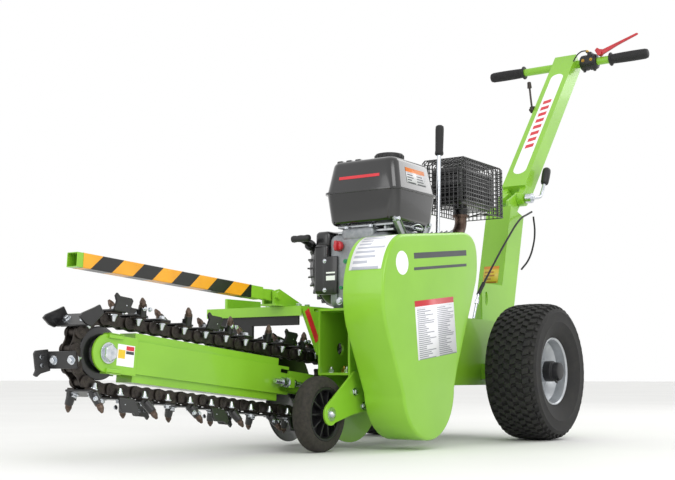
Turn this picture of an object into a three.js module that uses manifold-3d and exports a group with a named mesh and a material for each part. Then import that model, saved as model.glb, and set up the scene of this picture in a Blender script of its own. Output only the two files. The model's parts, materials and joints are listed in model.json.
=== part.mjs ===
// Walk-behind trencher: petrol engine on a welded deck, belt drive in a sheet cover, digging chain on a boom,
// spoil auger, two turf tyres on a rear axle and a single small support wheel.
// Units are millimetres. +X points to the boom's nose, +Y to the belt side, +Z up. The design origin is on the
// ground under the rear axle; the finished group is moved so that its origin is on the ground under the middle.
import * as THREE from "three";
import { mergeVertices } from "three/addons/utils/BufferGeometryUtils.js";
import Module from "manifold-3d";

const wasm = await Module();
wasm.setup();

// ---------------------------------------------------------------- driving dimensions
const GAP = 0.3;
const PLATE = 6;

const TYRE_R = 189;
const TYRE_SEGMENTS = 40;
const AXLE_Z = TYRE_R * Math.cos(Math.PI / TYRE_SEGMENTS);
const WHEEL_Y = 249;
const STUB_R = 15;

const SHAFT_X = 568;
const SHAFT_Z = 145;
const SHAFT_R = 14;

const BOOM_Y = -70;
const BOOM_ANGLE = THREE.MathUtils.degToRad(5.3);
const CHAIN_PITCH = 35;
const SPROCKET_TEETH = 12;
const CHAIN_R = CHAIN_PITCH / (2 * Math.sin(Math.PI / SPROCKET_TEETH));
const LINKS_PER_RUN = 23;
const NOSE_X = LINKS_PER_RUN * CHAIN_PITCH;
const CHAIN_HALF_HEIGHT = 13;
const CHAIN_HALF_WIDTH = 18;
const CUTTER_REACH = 52;
const CUTTER_HALF_WIDTH = 62;
const BEAM_HALF = 28;
const BEAM_END = 727;
const NOSE_BRIDGE = 742;
const CHEEK_PLATE = 6;
const CHEEK_OUTER = BEAM_HALF + GAP + CHEEK_PLATE;

const CRANK_X = 412;
const CRANK_Z = 460;
const CRANK_R = 12.5;
const DECK_TOP = 337;
const DECK_FRONT = 704;
const DECK_REAR = -134;
const LEFT_RAIL_Y = 84;
const RIGHT_RAIL_Y = -126;
const RAIL_BOTTOM = 150;

const COVER_BACK = 127;
const COVER_FACE = 233;
const COVER_WALL = 4;
const LOBE_R = 123;

const PULLEY_Y = 150;
const PULLEY_WIDTH = 40;
const DRIVEN_R = 103;
const DRIVER_R = 47;

const FRONT_WHEEL = { x: 787, y: 62, r: 88, half: 20 };
const FRONT_SEGMENTS = 32;

const POST_LEAN = THREE.MathUtils.degToRad(15.6);
const POST_WIDTH = 84;
const POST_DEPTH = 95;
const HANDLE_PIVOT = { x: -400, z: 745 };
const HANDLE_LEAN = THREE.MathUtils.degToRad(40.2);
const COLUMN_WIDTH = 82;
const COLUMN_DEPTH = 60;
const BAR_Z = 1295;
const BAR_X = HANDLE_PIVOT.x - (BAR_Z - HANDLE_PIVOT.z) * Math.tan(HANDLE_LEAN);
const BAR_HALF = 303;
const BAR_R = 14;

const AXLE_HALF = 22;
const RAIL_TOP = DECK_TOP - PLATE + 1;
const BULKHEAD_X = 400;
const INNER_PLATE_X = 430;
const SHELF_Z = 177;
const CURTAIN_X = 762;
const BAR_PIVOT = { x: 800, z: 366 };
const BAR_TIP = { x: 1437, z: 400 };
const IDLER = { x: 596, z: 352, pivotX: 676, pivotZ: 296, r: 26 };

const CASE = { x0: 306, x1: 520, y0: -100, y1: 95, top: 545 };
const BARREL_FOOT = { x: 320, z: 430 };
const BARREL_LEAN = THREE.MathUtils.degToRad(65);
const FAN = { back: -150, front: -100, r: 104 };
const ROPE_HOLE = [508, -168, 524];
const SWITCH = { x: CASE.x1 + GAP, y: -62, z: 511, r: 12, depth: 12, wing: 14 };
const TANK = { x0: 312, x1: 527, y0: -108, y1: 116, floor: 566, seam: 650, top: 735, wall: 3 };
const FILLER = { x: 395, y: 15, top: 748, r: 34 };
const MUFFLER = { x0: -100, x1: 105, y0: -28, y1: 84, z0: 664, z1: 776, wall: 3 };
const OUTLET = { x: 20, y: 28 };
const CAGE = { x0: -123, x1: 127, y0: -45, y1: 100, z0: 644, z1: 797, wall: 4 };
const LEVER = { x: 262, y: 80, z: 372, topX: 238, topZ: 780 };

const CLUTCH = { x: BAR_X + 10, y: 131, z: BAR_Z + 24 };
const THROTTLE = { x: -668, y: -COLUMN_WIDTH / 2, z: 1102 };
const CLAMP_Y = 58;
const CLAMP_BEND = [-455, 70, 756];

// ---------------------------------------------------------------- finishes
const finish = (color, roughness, metalness) => ({ color, roughness, metalness });
const GREEN = finish(0x8ed31b, 0.4, 0.0);
const BLACK_PAINT = finish(0x17181a, 0.45, 0.0);
const GLOSS_BLACK = finish(0x0b0b0d, 0.2, 0.0);
const RUBBER = finish(0x1d1d1d, 0.9, 0.0);
const SILVER = finish(0xb9bdc0, 0.4, 0.8);
const ZINC = finish(0xc9ccd0, 0.3, 1.0);
const CAST = finish(0x8b8f92, 0.55, 0.9);
const STEEL = finish(0x3d3833, 0.5, 0.8);
const HOT_STEEL = finish(0x5a4335, 0.5, 0.8);
const RED = finish(0xc01326, 0.35, 0.0);
const HAZARD = finish(0xf2b41a, 0.45, 0.0);

// ---------------------------------------------------------------- solid helpers
const machine = new THREE.Group();

// A closed body from a three.js geometry: shared corners merged, empty triangles dropped, faces outwards.
function solid(geometry) {
  const bare = geometry.clone();
  for (const name of Object.keys(bare.attributes)) {
    if (name !== "position") bare.deleteAttribute(name);
  }
  const merged = mergeVertices(bare, 1e-3);
  const corners = merged.index.array;
  const points = merged.attributes.position;
  const kept = [];
  let volume = 0;
  const a = new THREE.Vector3();
  const b = new THREE.Vector3();
  const c = new THREE.Vector3();
  for (let i = 0; i < corners.length; i += 3) {
    const [p, q, r] = corners.slice(i, i + 3);
    if (p === q || q === r || r === p) continue;
    kept.push(p, q, r);
    a.fromBufferAttribute(points, p);
    b.fromBufferAttribute(points, q);
    c.fromBufferAttribute(points, r);
    volume += a.dot(b.cross(c));
  }
  if (volume < 0) kept.reverse();
  return new wasm.Manifold(new wasm.Mesh({
    numProp: 3,
    vertProperties: new Float32Array(points.array),
    triVerts: new Uint32Array(kept),
  }));
}

function geometryOf(body) {
  const mesh = body.getMesh();
  const geometry = new THREE.BufferGeometry();
  const places = new Float32Array(mesh.vertProperties);
  geometry.setAttribute("position", new THREE.BufferAttribute(places, 3));
  geometry.setIndex(new THREE.BufferAttribute(new Uint32Array(mesh.triVerts), 1));
  geometry.computeVertexNormals();
  return geometry;
}

const join = (...bodies) => bodies.reduce((whole, body) => whole.add(body));
const cut = (body, ...tools) => tools.reduce((whole, tool) => whole.subtract(tool), body);

function part(name, body, look, parent = machine) {
  const mesh = new THREE.Mesh(geometryOf(body), new THREE.MeshStandardMaterial(look));
  mesh.name = name;
  parent.add(mesh);
  return mesh;
}

function box(x0, x1, y0, y1, z0, z1) {
  const geometry = new THREE.BoxGeometry(x1 - x0, y1 - y0, z1 - z0);
  geometry.translate((x0 + x1) / 2, (y0 + y1) / 2, (z0 + z1) / 2);
  return solid(geometry);
}

// A bar of rectangular section whose middle line leans back from a foot point by an angle.
function leaningBox(foot, lean, depth, width, from, to, shift = 0) {
  const geometry = new THREE.BoxGeometry(depth, width, to - from);
  geometry.translate(shift, 0, (from + to) / 2);
  geometry.rotateY(-lean);
  geometry.translate(foot.x, 0, foot.z);
  return solid(geometry);
}

// A round bar between two points.
function rod(from, to, radius, segments = 16) {
  const start = new THREE.Vector3(...from);
  const line = new THREE.Vector3(...to).sub(start);
  const geometry = new THREE.CylinderGeometry(radius, radius, line.length(), segments);
  const up = new THREE.Vector3(0, 1, 0);
  const turn = new THREE.Quaternion().setFromUnitVectors(up, line.clone().normalize());
  geometry.applyQuaternion(turn);
  geometry.translate(start.x + line.x / 2, start.y + line.y / 2, start.z + line.z / 2);
  return solid(geometry);
}

function acrossRod(x, z, y0, y1, radius, segments = 24) {
  return rod([x, y0, z], [x, y1, z], radius, segments);
}

// A piece turned about a line along Y. Its profile of [radius, y] ends where it starts or on the axis.
function turned(profile, x, y, z, segments = 32) {
  const points = profile.map(([radius, height]) => new THREE.Vector2(radius, height));
  const geometry = new THREE.LatheGeometry(points, segments, Math.PI / segments);
  geometry.translate(x, y, z);
  return solid(geometry);
}

const closed = (profile) => [...profile, profile[0]];

// A flat plate standing in the XZ plane between two Y values.
function plate(shape, y0, y1, curveSegments = 8) {
  const settings = { depth: y1 - y0, bevelEnabled: false, curveSegments };
  const geometry = new THREE.ExtrudeGeometry(shape, settings);
  geometry.rotateX(Math.PI / 2);
  geometry.translate(0, y1, 0);
  return solid(geometry);
}

const outline = (points) => new THREE.Shape(points.map(([x, z]) => new THREE.Vector2(x, z)));

// The outline of a belt or chain round two circles, made of two arcs and their outer tangents.
function loop(first, second) {
  const angle = Math.atan2(second.z - first.z, second.x - first.x);
  const length = Math.hypot(second.x - first.x, second.z - first.z);
  const spread = Math.acos((first.r - second.r) / length);
  const shape = new THREE.Shape();
  shape.absarc(first.x, first.z, first.r, angle + spread, angle - spread + 2 * Math.PI, false);
  shape.absarc(second.x, second.z, second.r, angle - spread, angle + spread, false);
  shape.closePath();
  return shape;
}

// A round cord along a smooth curve.
function cordAlong(points, radius, steps) {
  const curve = new THREE.CatmullRomCurve3(points.map((point) => new THREE.Vector3(...point)));
  const section = new THREE.Shape();
  section.absarc(0, 0, radius, 0, 2 * Math.PI);
  return solid(new THREE.ExtrudeGeometry(section, { extrudePath: curve, steps, curveSegments: 4 }));
}

// ---------------------------------------------------------------- frame
function mainFrame() {
  const roundBottom = 134;
  const bearingHole = 20;
  const leftOuter = LEFT_RAIL_Y + PLATE;
  const leftRail = box(DECK_REAR, DECK_FRONT - 4, LEFT_RAIL_Y, leftOuter, RAIL_BOTTOM, RAIL_TOP);
  const rightInner = RIGHT_RAIL_Y + PLATE;
  const rightRail = box(DECK_REAR, BULKHEAD_X + PLATE, RIGHT_RAIL_Y, rightInner, RAIL_BOTTOM, RAIL_TOP);
  const innerPlate = join(
    box(INNER_PLATE_X, DECK_FRONT, 0, PLATE, SHELF_Z, RAIL_TOP),
    acrossRod(SHAFT_X, SHAFT_Z, 0, PLATE, roundBottom, 40),
  );
  const deck = box(DECK_REAR, DECK_FRONT, RIGHT_RAIL_Y, leftOuter, DECK_TOP - PLATE, DECK_TOP);
  const wall = (x) => box(x, x + PLATE, RIGHT_RAIL_Y, LEFT_RAIL_Y + 1, RAIL_BOTTOM, RAIL_TOP);
  const shelf = box(560, DECK_FRONT, PLATE - 1, LEFT_RAIL_Y + 1, SHELF_Z, SHELF_Z + PLATE);
  const bracketY = LEVER.y - 13.5;
  const leverBracket = box(LEVER.x - 20, LEVER.x + 20, bracketY, bracketY + PLATE, DECK_TOP - 1, LEVER.z + 16);
  const walls = join(wall(BULKHEAD_X), wall(DECK_REAR));
  const joined = join(leftRail, rightRail, innerPlate, deck, walls, shelf, leverBracket);
  const pass = AXLE_HALF + GAP;
  const axlePass = box(-pass, pass, -200, 200, AXLE_Z - pass, AXLE_Z + pass);
  return cut(
    joined,
    axlePass,
    acrossRod(SHAFT_X, SHAFT_Z, -5, 95, bearingHole),
    acrossRod(616, 242, -5, 10, 15),
  );
}
part("main_frame", mainFrame(), GREEN);

function axleBeam() {
  const beam = box(-AXLE_HALF, AXLE_HALF, -160, 160, AXLE_Z - AXLE_HALF, AXLE_Z + AXLE_HALF);
  const shaft = acrossRod(0, AXLE_Z, -(WHEEL_Y + 46), WHEEL_Y + 46, STUB_R);
  return join(beam, shaft);
}
part("rear_axle", axleBeam(), GREEN);

function rearPost() {
  const foot = { x: -190 - POST_DEPTH / 2, z: DECK_TOP };
  const height = 372;
  const wall = 5;
  const shell = cut(
    leaningBox(foot, POST_LEAN, POST_DEPTH, POST_WIDTH, -20, height),
    leaningBox(foot, POST_LEAN, POST_DEPTH - 2 * wall, POST_WIDTH - 2 * wall, 0, height + 5),
  );
  const footBlock = cut(
    box(-262, DECK_REAR - GAP, -POST_WIDTH / 2, POST_WIDTH / 2, RAIL_BOTTOM, DECK_TOP),
    box(-256, DECK_REAR - 12, -POST_WIDTH / 2 + wall, POST_WIDTH / 2 - wall, RAIL_BOTTOM - 5, DECK_TOP - 30),
  );
  const gussetShape = outline([
    [DECK_REAR - GAP, 325], [DECK_REAR - GAP, DECK_TOP + GAP], [-84, DECK_TOP + GAP],
    [-84, 440], [-110, 452], [-228, 452], [-200, 325],
  ]);
  const oval = new THREE.Path();
  oval.absellipse(-112, 405, 9, 22, 0, 2 * Math.PI);
  gussetShape.holes.push(oval);
  const gusset = plate(gussetShape, POST_WIDTH / 2 - PLATE, POST_WIDTH / 2, 8);
  const lug = (y) => join(
    plate(outline([[-318, 690], [-372, 690], [-424, 745], [-400, 769], [-318, 730]]), y, y + 8),
    acrossRod(HANDLE_PIVOT.x, HANDLE_PIVOT.z, y, y + 8, 24, 24),
  );
  const pin = join(
    acrossRod(HANDLE_PIVOT.x, HANDLE_PIVOT.z, -50, 46, 10, 20),
    acrossRod(HANDLE_PIVOT.x, HANDLE_PIVOT.z, -50, -41 - GAP, 17, 6),
  );
  const cap = leaningBox(foot, POST_LEAN, POST_DEPTH, POST_WIDTH, height - 6, height);
  const drain = leaningBox(foot, POST_LEAN, 30, 30, height - 20, height + 20, 20);
  return join(cut(join(shell, footBlock, gusset, cap), drain), lug(-20), lug(12), pin);
}
part("rear_post", rearPost(), GREEN);

// ---------------------------------------------------------------- rear wheels
const tyreProfile = closed([
  [92, -50], [112, -66], [150, -75], [174, -70], [TYRE_R, -52],
  [TYRE_R, 52], [174, 70], [150, 75], [112, 66], [92, 50],
]);
const rimProfile = closed([
  [STUB_R + GAP, -45], [28, -45], [28, 8], [84, 4], [84, -50], [91.7, -50],
  [91.7, 50], [84, 50], [84, 12], [28, 16], [28, 43], [STUB_R + GAP, 43],
]);
const capProfile = (side) => [
  [0, 46.5], [19, 46.5], [24, 50], [24, 70], [18, 75], [0, 75],
].map(([radius, height]) => [radius, side * height]);

for (const [side, name] of [[1, "left"], [-1, "right"]]) {
  const y = side * WHEEL_Y;
  part(`${name}_tyre`, turned(tyreProfile, 0, y, AXLE_Z, TYRE_SEGMENTS), RUBBER);
  part(`${name}_rim`, turned(rimProfile.map(([r, h]) => [r, side * h]), 0, y, AXLE_Z, 24), SILVER);
  part(`${name}_hub_cap`, turned(capProfile(side), 0, y, AXLE_Z, 20), BLACK_PAINT);
}

// ---------------------------------------------------------------- front support wheel
function frontWheel() {
  const { x, y, r, half } = FRONT_WHEEL;
  const z = r * Math.cos(Math.PI / FRONT_SEGMENTS);
  const tyre = closed([
    [62, -half], [80, -half], [86, -half + 4], [r, -half + 9],
    [r, half - 9], [86, half - 4], [80, half], [62, half],
  ]);
  const hub = closed([
    [8 + GAP, -half - 3], [18, -half - 3], [18, -3], [54, -3], [54, -half + 2], [61.7, -half + 2],
    [61.7, half - 2], [54, half - 2], [54, 3], [18, 3], [18, half + 3], [8 + GAP, half + 3],
  ]);
  part("front_tyre", turned(tyre, x, y, z, FRONT_SEGMENTS), RUBBER);
  part("front_rim", turned(hub, x, y, z, 20), BLACK_PAINT);
  const outer = LEFT_RAIL_Y + PLATE + GAP;
  const shank = acrossRod(x, z, y - half - 12, outer + 14, 8, 16);
  const nut = acrossRod(x, z, outer + PLATE + GAP, outer + 14, 13, 6);
  const head = acrossRod(x, z, y - half - 12, y - half - 4, 13, 6);
  part("front_axle_bolt", join(shank, nut, head), ZINC);
  const arm = new THREE.Shape();
  arm.absarc(x, z, 26, THREE.MathUtils.degToRad(-130), THREE.MathUtils.degToRad(50), false);
  arm.lineTo(690, 186);
  arm.lineTo(600, 190);
  arm.lineTo(600, 96);
  arm.lineTo(698, 84);
  arm.closePath();
  const armPlate = plate(arm, outer, outer + PLATE);
  part("front_wheel_arm", cut(armPlate, acrossRod(x, z, 60, 120, 8 + GAP, 16)), GREEN);
}
frontWheel();

// ---------------------------------------------------------------- boom, nose and digging chain
// This group's X axis runs along the boom from the drive shaft to the nose.
const boom = new THREE.Group();
boom.position.set(SHAFT_X, BOOM_Y, SHAFT_Z);
boom.rotation.y = -BOOM_ANGLE;
machine.add(boom);

function boomBeam() {
  const half = BEAM_HALF;
  const height = 33;
  const wall = 5;
  const root = 96;
  const beam = cut(
    box(200, BEAM_END, -half, half, -height, height),
    box(190, 760, -half + wall, half - wall, -height + wall, height - wall),
  );
  const strips = join(
    box(235, 720, -half + 6, half - 6, height - 1, 50),
    box(235, 720, -half + 6, half - 6, -50, -height + 1),
  );
  const cheek = (y) => box(root, 240, y, y + wall, -24, 24);
  const collar = (y) => acrossRod(0, 0, y, y + wall, 26, 24);
  const neck = (y) => box(0, root + 5, y, y + wall, -18, 18);
  const side = (y) => join(cheek(y), collar(y), neck(y));
  const lug = cut(box(206, 222, half - 1, 52, -18, 6), rod([190, 40, -6], [230, 40, -6], 6 + GAP, 12));
  const slotted = join(beam, strips, side(-half), side(half - wall), lug);
  const slot = (z0, z1) => box(199, 232, half - 6, half + 2, z0, z1);
  return cut(slotted, slot(16, 26), slot(-26, -16), acrossRod(0, 0, -40, 40, SHAFT_R + 4));
}
part("boom_beam", boomBeam(), GREEN, boom);

// The nose slides on a tongue inside the beam; its cheeks lap over the beam's end, so the travel stays covered.
function noseFork() {
  const half = BEAM_HALF;
  const plateEnd = 38;
  const lap = BEAM_END - 5;
  const tongue = box(560, NOSE_BRIDGE + 3, -half + 5 + GAP, half - 5 - GAP, -27, 27);
  const cheekShape = new THREE.Shape();
  cheekShape.absarc(NOSE_X, 0, plateEnd, -Math.PI / 2, Math.PI / 2, false);
  cheekShape.lineTo(lap, plateEnd);
  cheekShape.lineTo(lap, -plateEnd);
  cheekShape.closePath();
  const cheek = (y) => plate(cheekShape, y, y + CHEEK_PLATE);
  const bridge = box(NOSE_BRIDGE + GAP, 750, -half - 2, half + 2, -27, 27);
  const body = join(tongue, bridge, cheek(-CHEEK_OUTER), cheek(CHEEK_OUTER - CHEEK_PLATE));
  return cut(body, acrossRod(NOSE_X, 0, -50, 50, 12 + GAP), box(550, 735, -half + 12, half - 12, -20, 20));
}
part("nose_fork", noseFork(), GREEN, boom);

const rollerInner = CHAIN_R - CHAIN_HALF_HEIGHT - 1;
part("nose_roller", turned(closed([
  [12 + GAP, -18], [30, -18], [30, -14], [rollerInner, -14], [rollerInner, 14], [30, 14], [30, 18], [12 + GAP, 18],
]), NOSE_X, 0, 0, 24), BLACK_PAINT, boom);

function noseBolt() {
  const half = CHEEK_OUTER;
  const shank = acrossRod(NOSE_X, 0, -half - 14, half + 6, 12, 20);
  const washer = acrossRod(NOSE_X, 0, half + GAP, half + 4, 22, 24);
  const head = acrossRod(NOSE_X, 0, half + 3, half + 16, 19, 6);
  const nut = acrossRod(NOSE_X, 0, -half - 14, -half - GAP, 19, 6);
  return join(shank, washer, head, nut);
}
part("nose_bolt", noseBolt(), ZINC, boom);

function tensionScrew() {
  const y = 28 + 12;
  const z = -6;
  const stud = rod([150, y, z], [262, y, z], 6, 12);
  const nuts = join(rod([238, y, z], [248, y, z], 11, 6), rod([252, y, z], [262, y, z], 11, 6));
  return join(stud, nuts);
}
part("tension_screw", tensionScrew(), ZINC, boom);

// Every second link carries a cutter; the tools alternate between the chain's two sides.
function cutterPoses() {
  const poses = [];
  for (let i = 0; i < LINKS_PER_RUN; i += 1) {
    poses.push({ x: (i + 0.5) * CHAIN_PITCH, z: CHAIN_R, turn: 0 });
  }
  for (let i = 0; i < SPROCKET_TEETH / 2; i += 1) {
    const angle = Math.PI / 2 - (i + 0.5) * (2 * Math.PI / SPROCKET_TEETH);
    const turn = Math.PI / 2 - angle;
    poses.push({ x: NOSE_X + CHAIN_R * Math.cos(angle), z: CHAIN_R * Math.sin(angle), turn });
  }
  for (let i = 0; i < LINKS_PER_RUN; i += 1) {
    poses.push({ x: NOSE_X - (i + 0.5) * CHAIN_PITCH, z: -CHAIN_R, turn: Math.PI });
  }
  for (let i = 0; i < SPROCKET_TEETH / 2; i += 1) {
    const angle = -Math.PI / 2 - (i + 0.5) * (2 * Math.PI / SPROCKET_TEETH);
    poses.push({ x: CHAIN_R * Math.cos(angle), z: CHAIN_R * Math.sin(angle), turn: Math.PI / 2 - angle });
  }
  return poses.filter((pose, index) => index % 2 === 0);
}

function cutter(pose, index) {
  const side = index % 2 === 0 ? 1 : -1;
  const blocks = [
    [-17, 17, Math.min(-26, side * 54), Math.max(26, side * 54), 8, 24],
    [-6, 14, side * 34, side * CUTTER_HALF_WIDTH, 20, CUTTER_REACH],
  ];
  const bodies = blocks.map(([x0, x1, ya, yb, z0, z1]) => {
    const geometry = new THREE.BoxGeometry(x1 - x0, Math.abs(yb - ya), z1 - z0);
    geometry.translate((x0 + x1) / 2, (ya + yb) / 2, (z0 + z1) / 2);
    geometry.rotateY(pose.turn);
    geometry.translate(pose.x, 0, pose.z);
    return solid(geometry);
  });
  return join(...bodies);
}

function diggingChain() {
  const band = (r) => loop({ x: 0, z: 0, r }, { x: NOSE_X, z: 0, r });
  const ring = cut(
    plate(band(CHAIN_R + CHAIN_HALF_HEIGHT), -CHAIN_HALF_WIDTH, CHAIN_HALF_WIDTH, 6),
    plate(band(CHAIN_R - CHAIN_HALF_HEIGHT), -CHAIN_HALF_WIDTH - 5, CHAIN_HALF_WIDTH + 5, 9),
  );
  return join(ring, ...cutterPoses().map(cutter));
}
part("digging_chain", diggingChain(), STEEL, boom);

// ---------------------------------------------------------------- drive shaft, sprocket, auger, driven pulley
part("drive_shaft", acrossRod(SHAFT_X, SHAFT_Z, -292, 205, SHAFT_R, 20), ZINC);

function driveSprocket() {
  const tip = CHAIN_R - CHAIN_HALF_HEIGHT - 1.5;
  const rootR = tip - 7;
  const shape = new THREE.Shape();
  for (let i = 0; i < SPROCKET_TEETH; i += 1) {
    const middle = i * 2 * Math.PI / SPROCKET_TEETH;
    const corners = [[rootR, -0.2], [tip, -0.09], [tip, 0.09], [rootR, 0.2]];
    for (const [radius, swing] of corners) {
      const x = radius * Math.cos(middle + swing);
      const z = radius * Math.sin(middle + swing);
      if (i === 0 && swing === -0.2) shape.moveTo(x, z);
      else shape.lineTo(x, z);
    }
  }
  shape.closePath();
  const disc = plate(shape, -6, 6);
  const hub = acrossRod(0, 0, -17, 17, 27, 24);
  const whole = cut(join(disc, hub), acrossRod(0, 0, -30, 30, SHAFT_R + GAP, 24));
  const mesh = part("drive_sprocket", whole, STEEL);
  mesh.position.set(SHAFT_X, BOOM_Y, SHAFT_Z);
}
driveSprocket();

// One turn of a flat helical blade round a tube.
function spoilAuger() {
  const near = -148;
  const far = -286;
  const outer = 138;
  const inner = 24;
  const steps = 16;
  const pitch = (near - far - PLATE) / steps;
  const wedges = [];
  for (let i = 0; i < steps; i += 1) {
    const from = i * 2 * Math.PI / steps;
    const to = from + 2 * Math.PI / steps + 0.03;
    const shape = outline([
      [inner * Math.cos(from), inner * Math.sin(from)], [outer * Math.cos(from), outer * Math.sin(from)],
      [outer * Math.cos(to), outer * Math.sin(to)], [inner * Math.cos(to), inner * Math.sin(to)],
    ]);
    const y = near - i * pitch;
    wedges.push(plate(shape, y - pitch - PLATE, y));
  }
  const tube = acrossRod(0, 0, far, near, inner + 4, 24);
  const whole = cut(join(tube, ...wedges), acrossRod(0, 0, far - 5, near + 5, SHAFT_R + GAP, 24));
  const mesh = part("spoil_auger", whole, BLACK_PAINT);
  mesh.position.set(SHAFT_X, 0, SHAFT_Z);
}
spoilAuger();

const bearing = (y0, y1) => turned(closed([
  [SHAFT_R + GAP, y0], [31, y0], [31, y0 + 6], [25, y1], [SHAFT_R + GAP, y1],
]), SHAFT_X, 0, SHAFT_Z, 24);
part("inner_bearing", bearing(PLATE + GAP, PLATE + 22), CAST);
part("outer_bearing", turned(closed([
  [SHAFT_R + GAP, 62], [25, 62], [31, 77], [31, LEFT_RAIL_Y - GAP], [SHAFT_R + GAP, LEFT_RAIL_Y - GAP],
]), SHAFT_X, 0, SHAFT_Z, 24), CAST);

function pulley(outer, bore, x, z) {
  const floor = outer - 14;
  const profile = closed([
    [bore + GAP, 0], [outer, 0], [outer, 10], [floor, 12], [floor, 28], [outer, 30], [outer, PULLEY_WIDTH],
    [bore + GAP, PULLEY_WIDTH],
  ]);
  return turned(profile, x, PULLEY_Y, z, 28);
}
part("driven_pulley", pulley(DRIVEN_R + 2, SHAFT_R, SHAFT_X, SHAFT_Z), CAST);
part("engine_pulley", join(
  pulley(DRIVER_R + 2, CRANK_R - 1, CRANK_X, CRANK_Z),
  acrossRod(CRANK_X, CRANK_Z, 95 + GAP, 205, CRANK_R, 24),
), CAST);

function driveBelt() {
  const run = (trim) => loop(
    { x: SHAFT_X, z: SHAFT_Z, r: DRIVEN_R - trim },
    { x: CRANK_X, z: CRANK_Z, r: DRIVER_R - trim },
  );
  const y0 = PULLEY_Y + 13;
  const y1 = PULLEY_Y + 27;
  return cut(plate(run(0), y0, y1, 8), plate(run(10.5), y0 - 5, y1 + 5, 9));
}
part("drive_belt", driveBelt(), RUBBER);

// ---------------------------------------------------------------- belt cover
function coverShape(inset) {
  const lobe = LOBE_R - inset;
  const shape = new THREE.Shape();
  shape.moveTo(SHAFT_X + lobe * 0.99, SHAFT_Z - lobe * 0.1);
  shape.lineTo(768 - inset, 292);
  shape.quadraticCurveTo(786 - inset, 345, 776 - inset, 403 - inset * 0.3);
  shape.quadraticCurveTo(752 - inset, 498 - inset, 680 - inset * 0.5, 507 - inset);
  shape.lineTo(388 + inset * 0.5, 541 - inset);
  shape.quadraticCurveTo(318 + inset, 545 - inset, 313 + inset, 486 - inset * 0.4);
  shape.quadraticCurveTo(309 + inset, 440, 324 + inset, 409);
  shape.lineTo(424 + inset, 200);
  shape.lineTo(SHAFT_X - lobe, SHAFT_Z);
  shape.absarc(SHAFT_X, SHAFT_Z, lobe, Math.PI, 2 * Math.PI - 0.1, false);
  shape.closePath();
  return shape;
}

part("belt_cover", cut(
  plate(coverShape(0), COVER_BACK, COVER_FACE),
  plate(coverShape(COVER_WALL), COVER_BACK - 5, COVER_FACE - COVER_WALL),
), GREEN);

function coverBackplate() {
  const sheet = plate(coverShape(1), COVER_BACK - GAP - 4, COVER_BACK - GAP);
  const foot = LEFT_RAIL_Y + PLATE + GAP;
  const spots = [[470, 240], [640, 240], [560, 300]];
  const spacers = spots.map(([x, z]) => acrossRod(x, z, foot, COVER_BACK - 4, 9, 12));
  const pivot = join(
    acrossRod(IDLER.pivotX, IDLER.pivotZ, COVER_BACK - 3, COVER_BACK + 20, 6, 12),
    acrossRod(IDLER.pivotX, IDLER.pivotZ, COVER_BACK + 14, COVER_BACK + 20, 11, 6),
  );
  return cut(
    join(sheet, pivot, ...spacers),
    acrossRod(SHAFT_X, SHAFT_Z, 100, 140, 30),
    acrossRod(CRANK_X, CRANK_Z, 100, 140, 40),
  );
}
part("cover_backplate", coverBackplate(), GREEN);

function idlerArm() {
  const y0 = COVER_BACK + 6;
  const shape = loop({ x: IDLER.pivotX, z: IDLER.pivotZ, r: 14 }, { x: IDLER.x, z: IDLER.z, r: 12 });
  const strap = plate(shape, y0, y0 + PLATE);
  const stub = acrossRod(IDLER.x, IDLER.z, y0, PULLEY_Y + 34, 6, 12);
  return cut(join(strap, stub), acrossRod(IDLER.pivotX, IDLER.pivotZ, 100, 160, 6 + GAP, 12));
}
part("idler_arm", idlerArm(), ZINC);
part("idler_pulley", turned(closed([
  [6 + GAP, 0], [IDLER.r, 0], [IDLER.r, 22], [6 + GAP, 22],
]), IDLER.x, PULLEY_Y + 9, IDLER.z, 24), BLACK_PAINT);

// ---------------------------------------------------------------- engine
function crankcase() {
  const foot = DECK_TOP + GAP;
  const block = box(CASE.x0, CASE.x1, CASE.y0 + GAP, CASE.y1, foot + 8, CASE.top);
  const pad = (y0, y1) => box(CASE.x0 - 6, CASE.x1 + 6, y0, y1, foot, foot + 12);
  const cylinder = leaningBox(BARREL_FOOT, BARREL_LEAN, 120, 130, 0, 190);
  const head = leaningBox(BARREL_FOOT, BARREL_LEAN, 130, 138, 189, 235);
  const sideCover = acrossRod(CRANK_X, CRANK_Z, CASE.y1 - 15, CASE.y1, 84, 28);
  return join(block, pad(-96, -66), pad(60, 94), cylinder, head, sideCover);
}
part("crankcase", cut(crankcase(), acrossRod(CRANK_X, CRANK_Z, CASE.y1 - 1, CASE.y1 + 5, 60)), CAST);

function fanHousing() {
  const drum = acrossRod(CRANK_X, CRANK_Z, FAN.back, FAN.front, FAN.r, 32);
  const shroud = box(CRANK_X - 60, CRANK_X + 96, FAN.back, FAN.front, CRANK_Z + 10, CRANK_Z + 96);
  const panel = box(CRANK_X + 60, CASE.x1, FAN.back + 4, FAN.front, CRANK_Z - 60, CRANK_Z + 40);
  const hollow = acrossRod(CRANK_X, CRANK_Z, FAN.back + 4, FAN.front + 5, FAN.r - 14, 28);
  return cut(join(drum, shroud, panel), hollow);
}
part("fan_housing", fanHousing(), BLACK_PAINT);

function recoilCover() {
  const rim = FAN.back - GAP;
  const dome = turned([
    [0, -190], [62, -186], [88, -168], [94, rim], [89, rim], [84, -164], [58, -181], [0, -185],
  ], CRANK_X, 0, CRANK_Z, 24);
  const ropeEye = rod([470, -168, 512], ROPE_HOLE, 15, 16);
  return cut(join(dome, ropeEye), rod([465, -168, 510.4], [512, -168, 525.2], 7, 12));
}
part("recoil_cover", recoilCover(), BLACK_PAINT);

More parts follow.
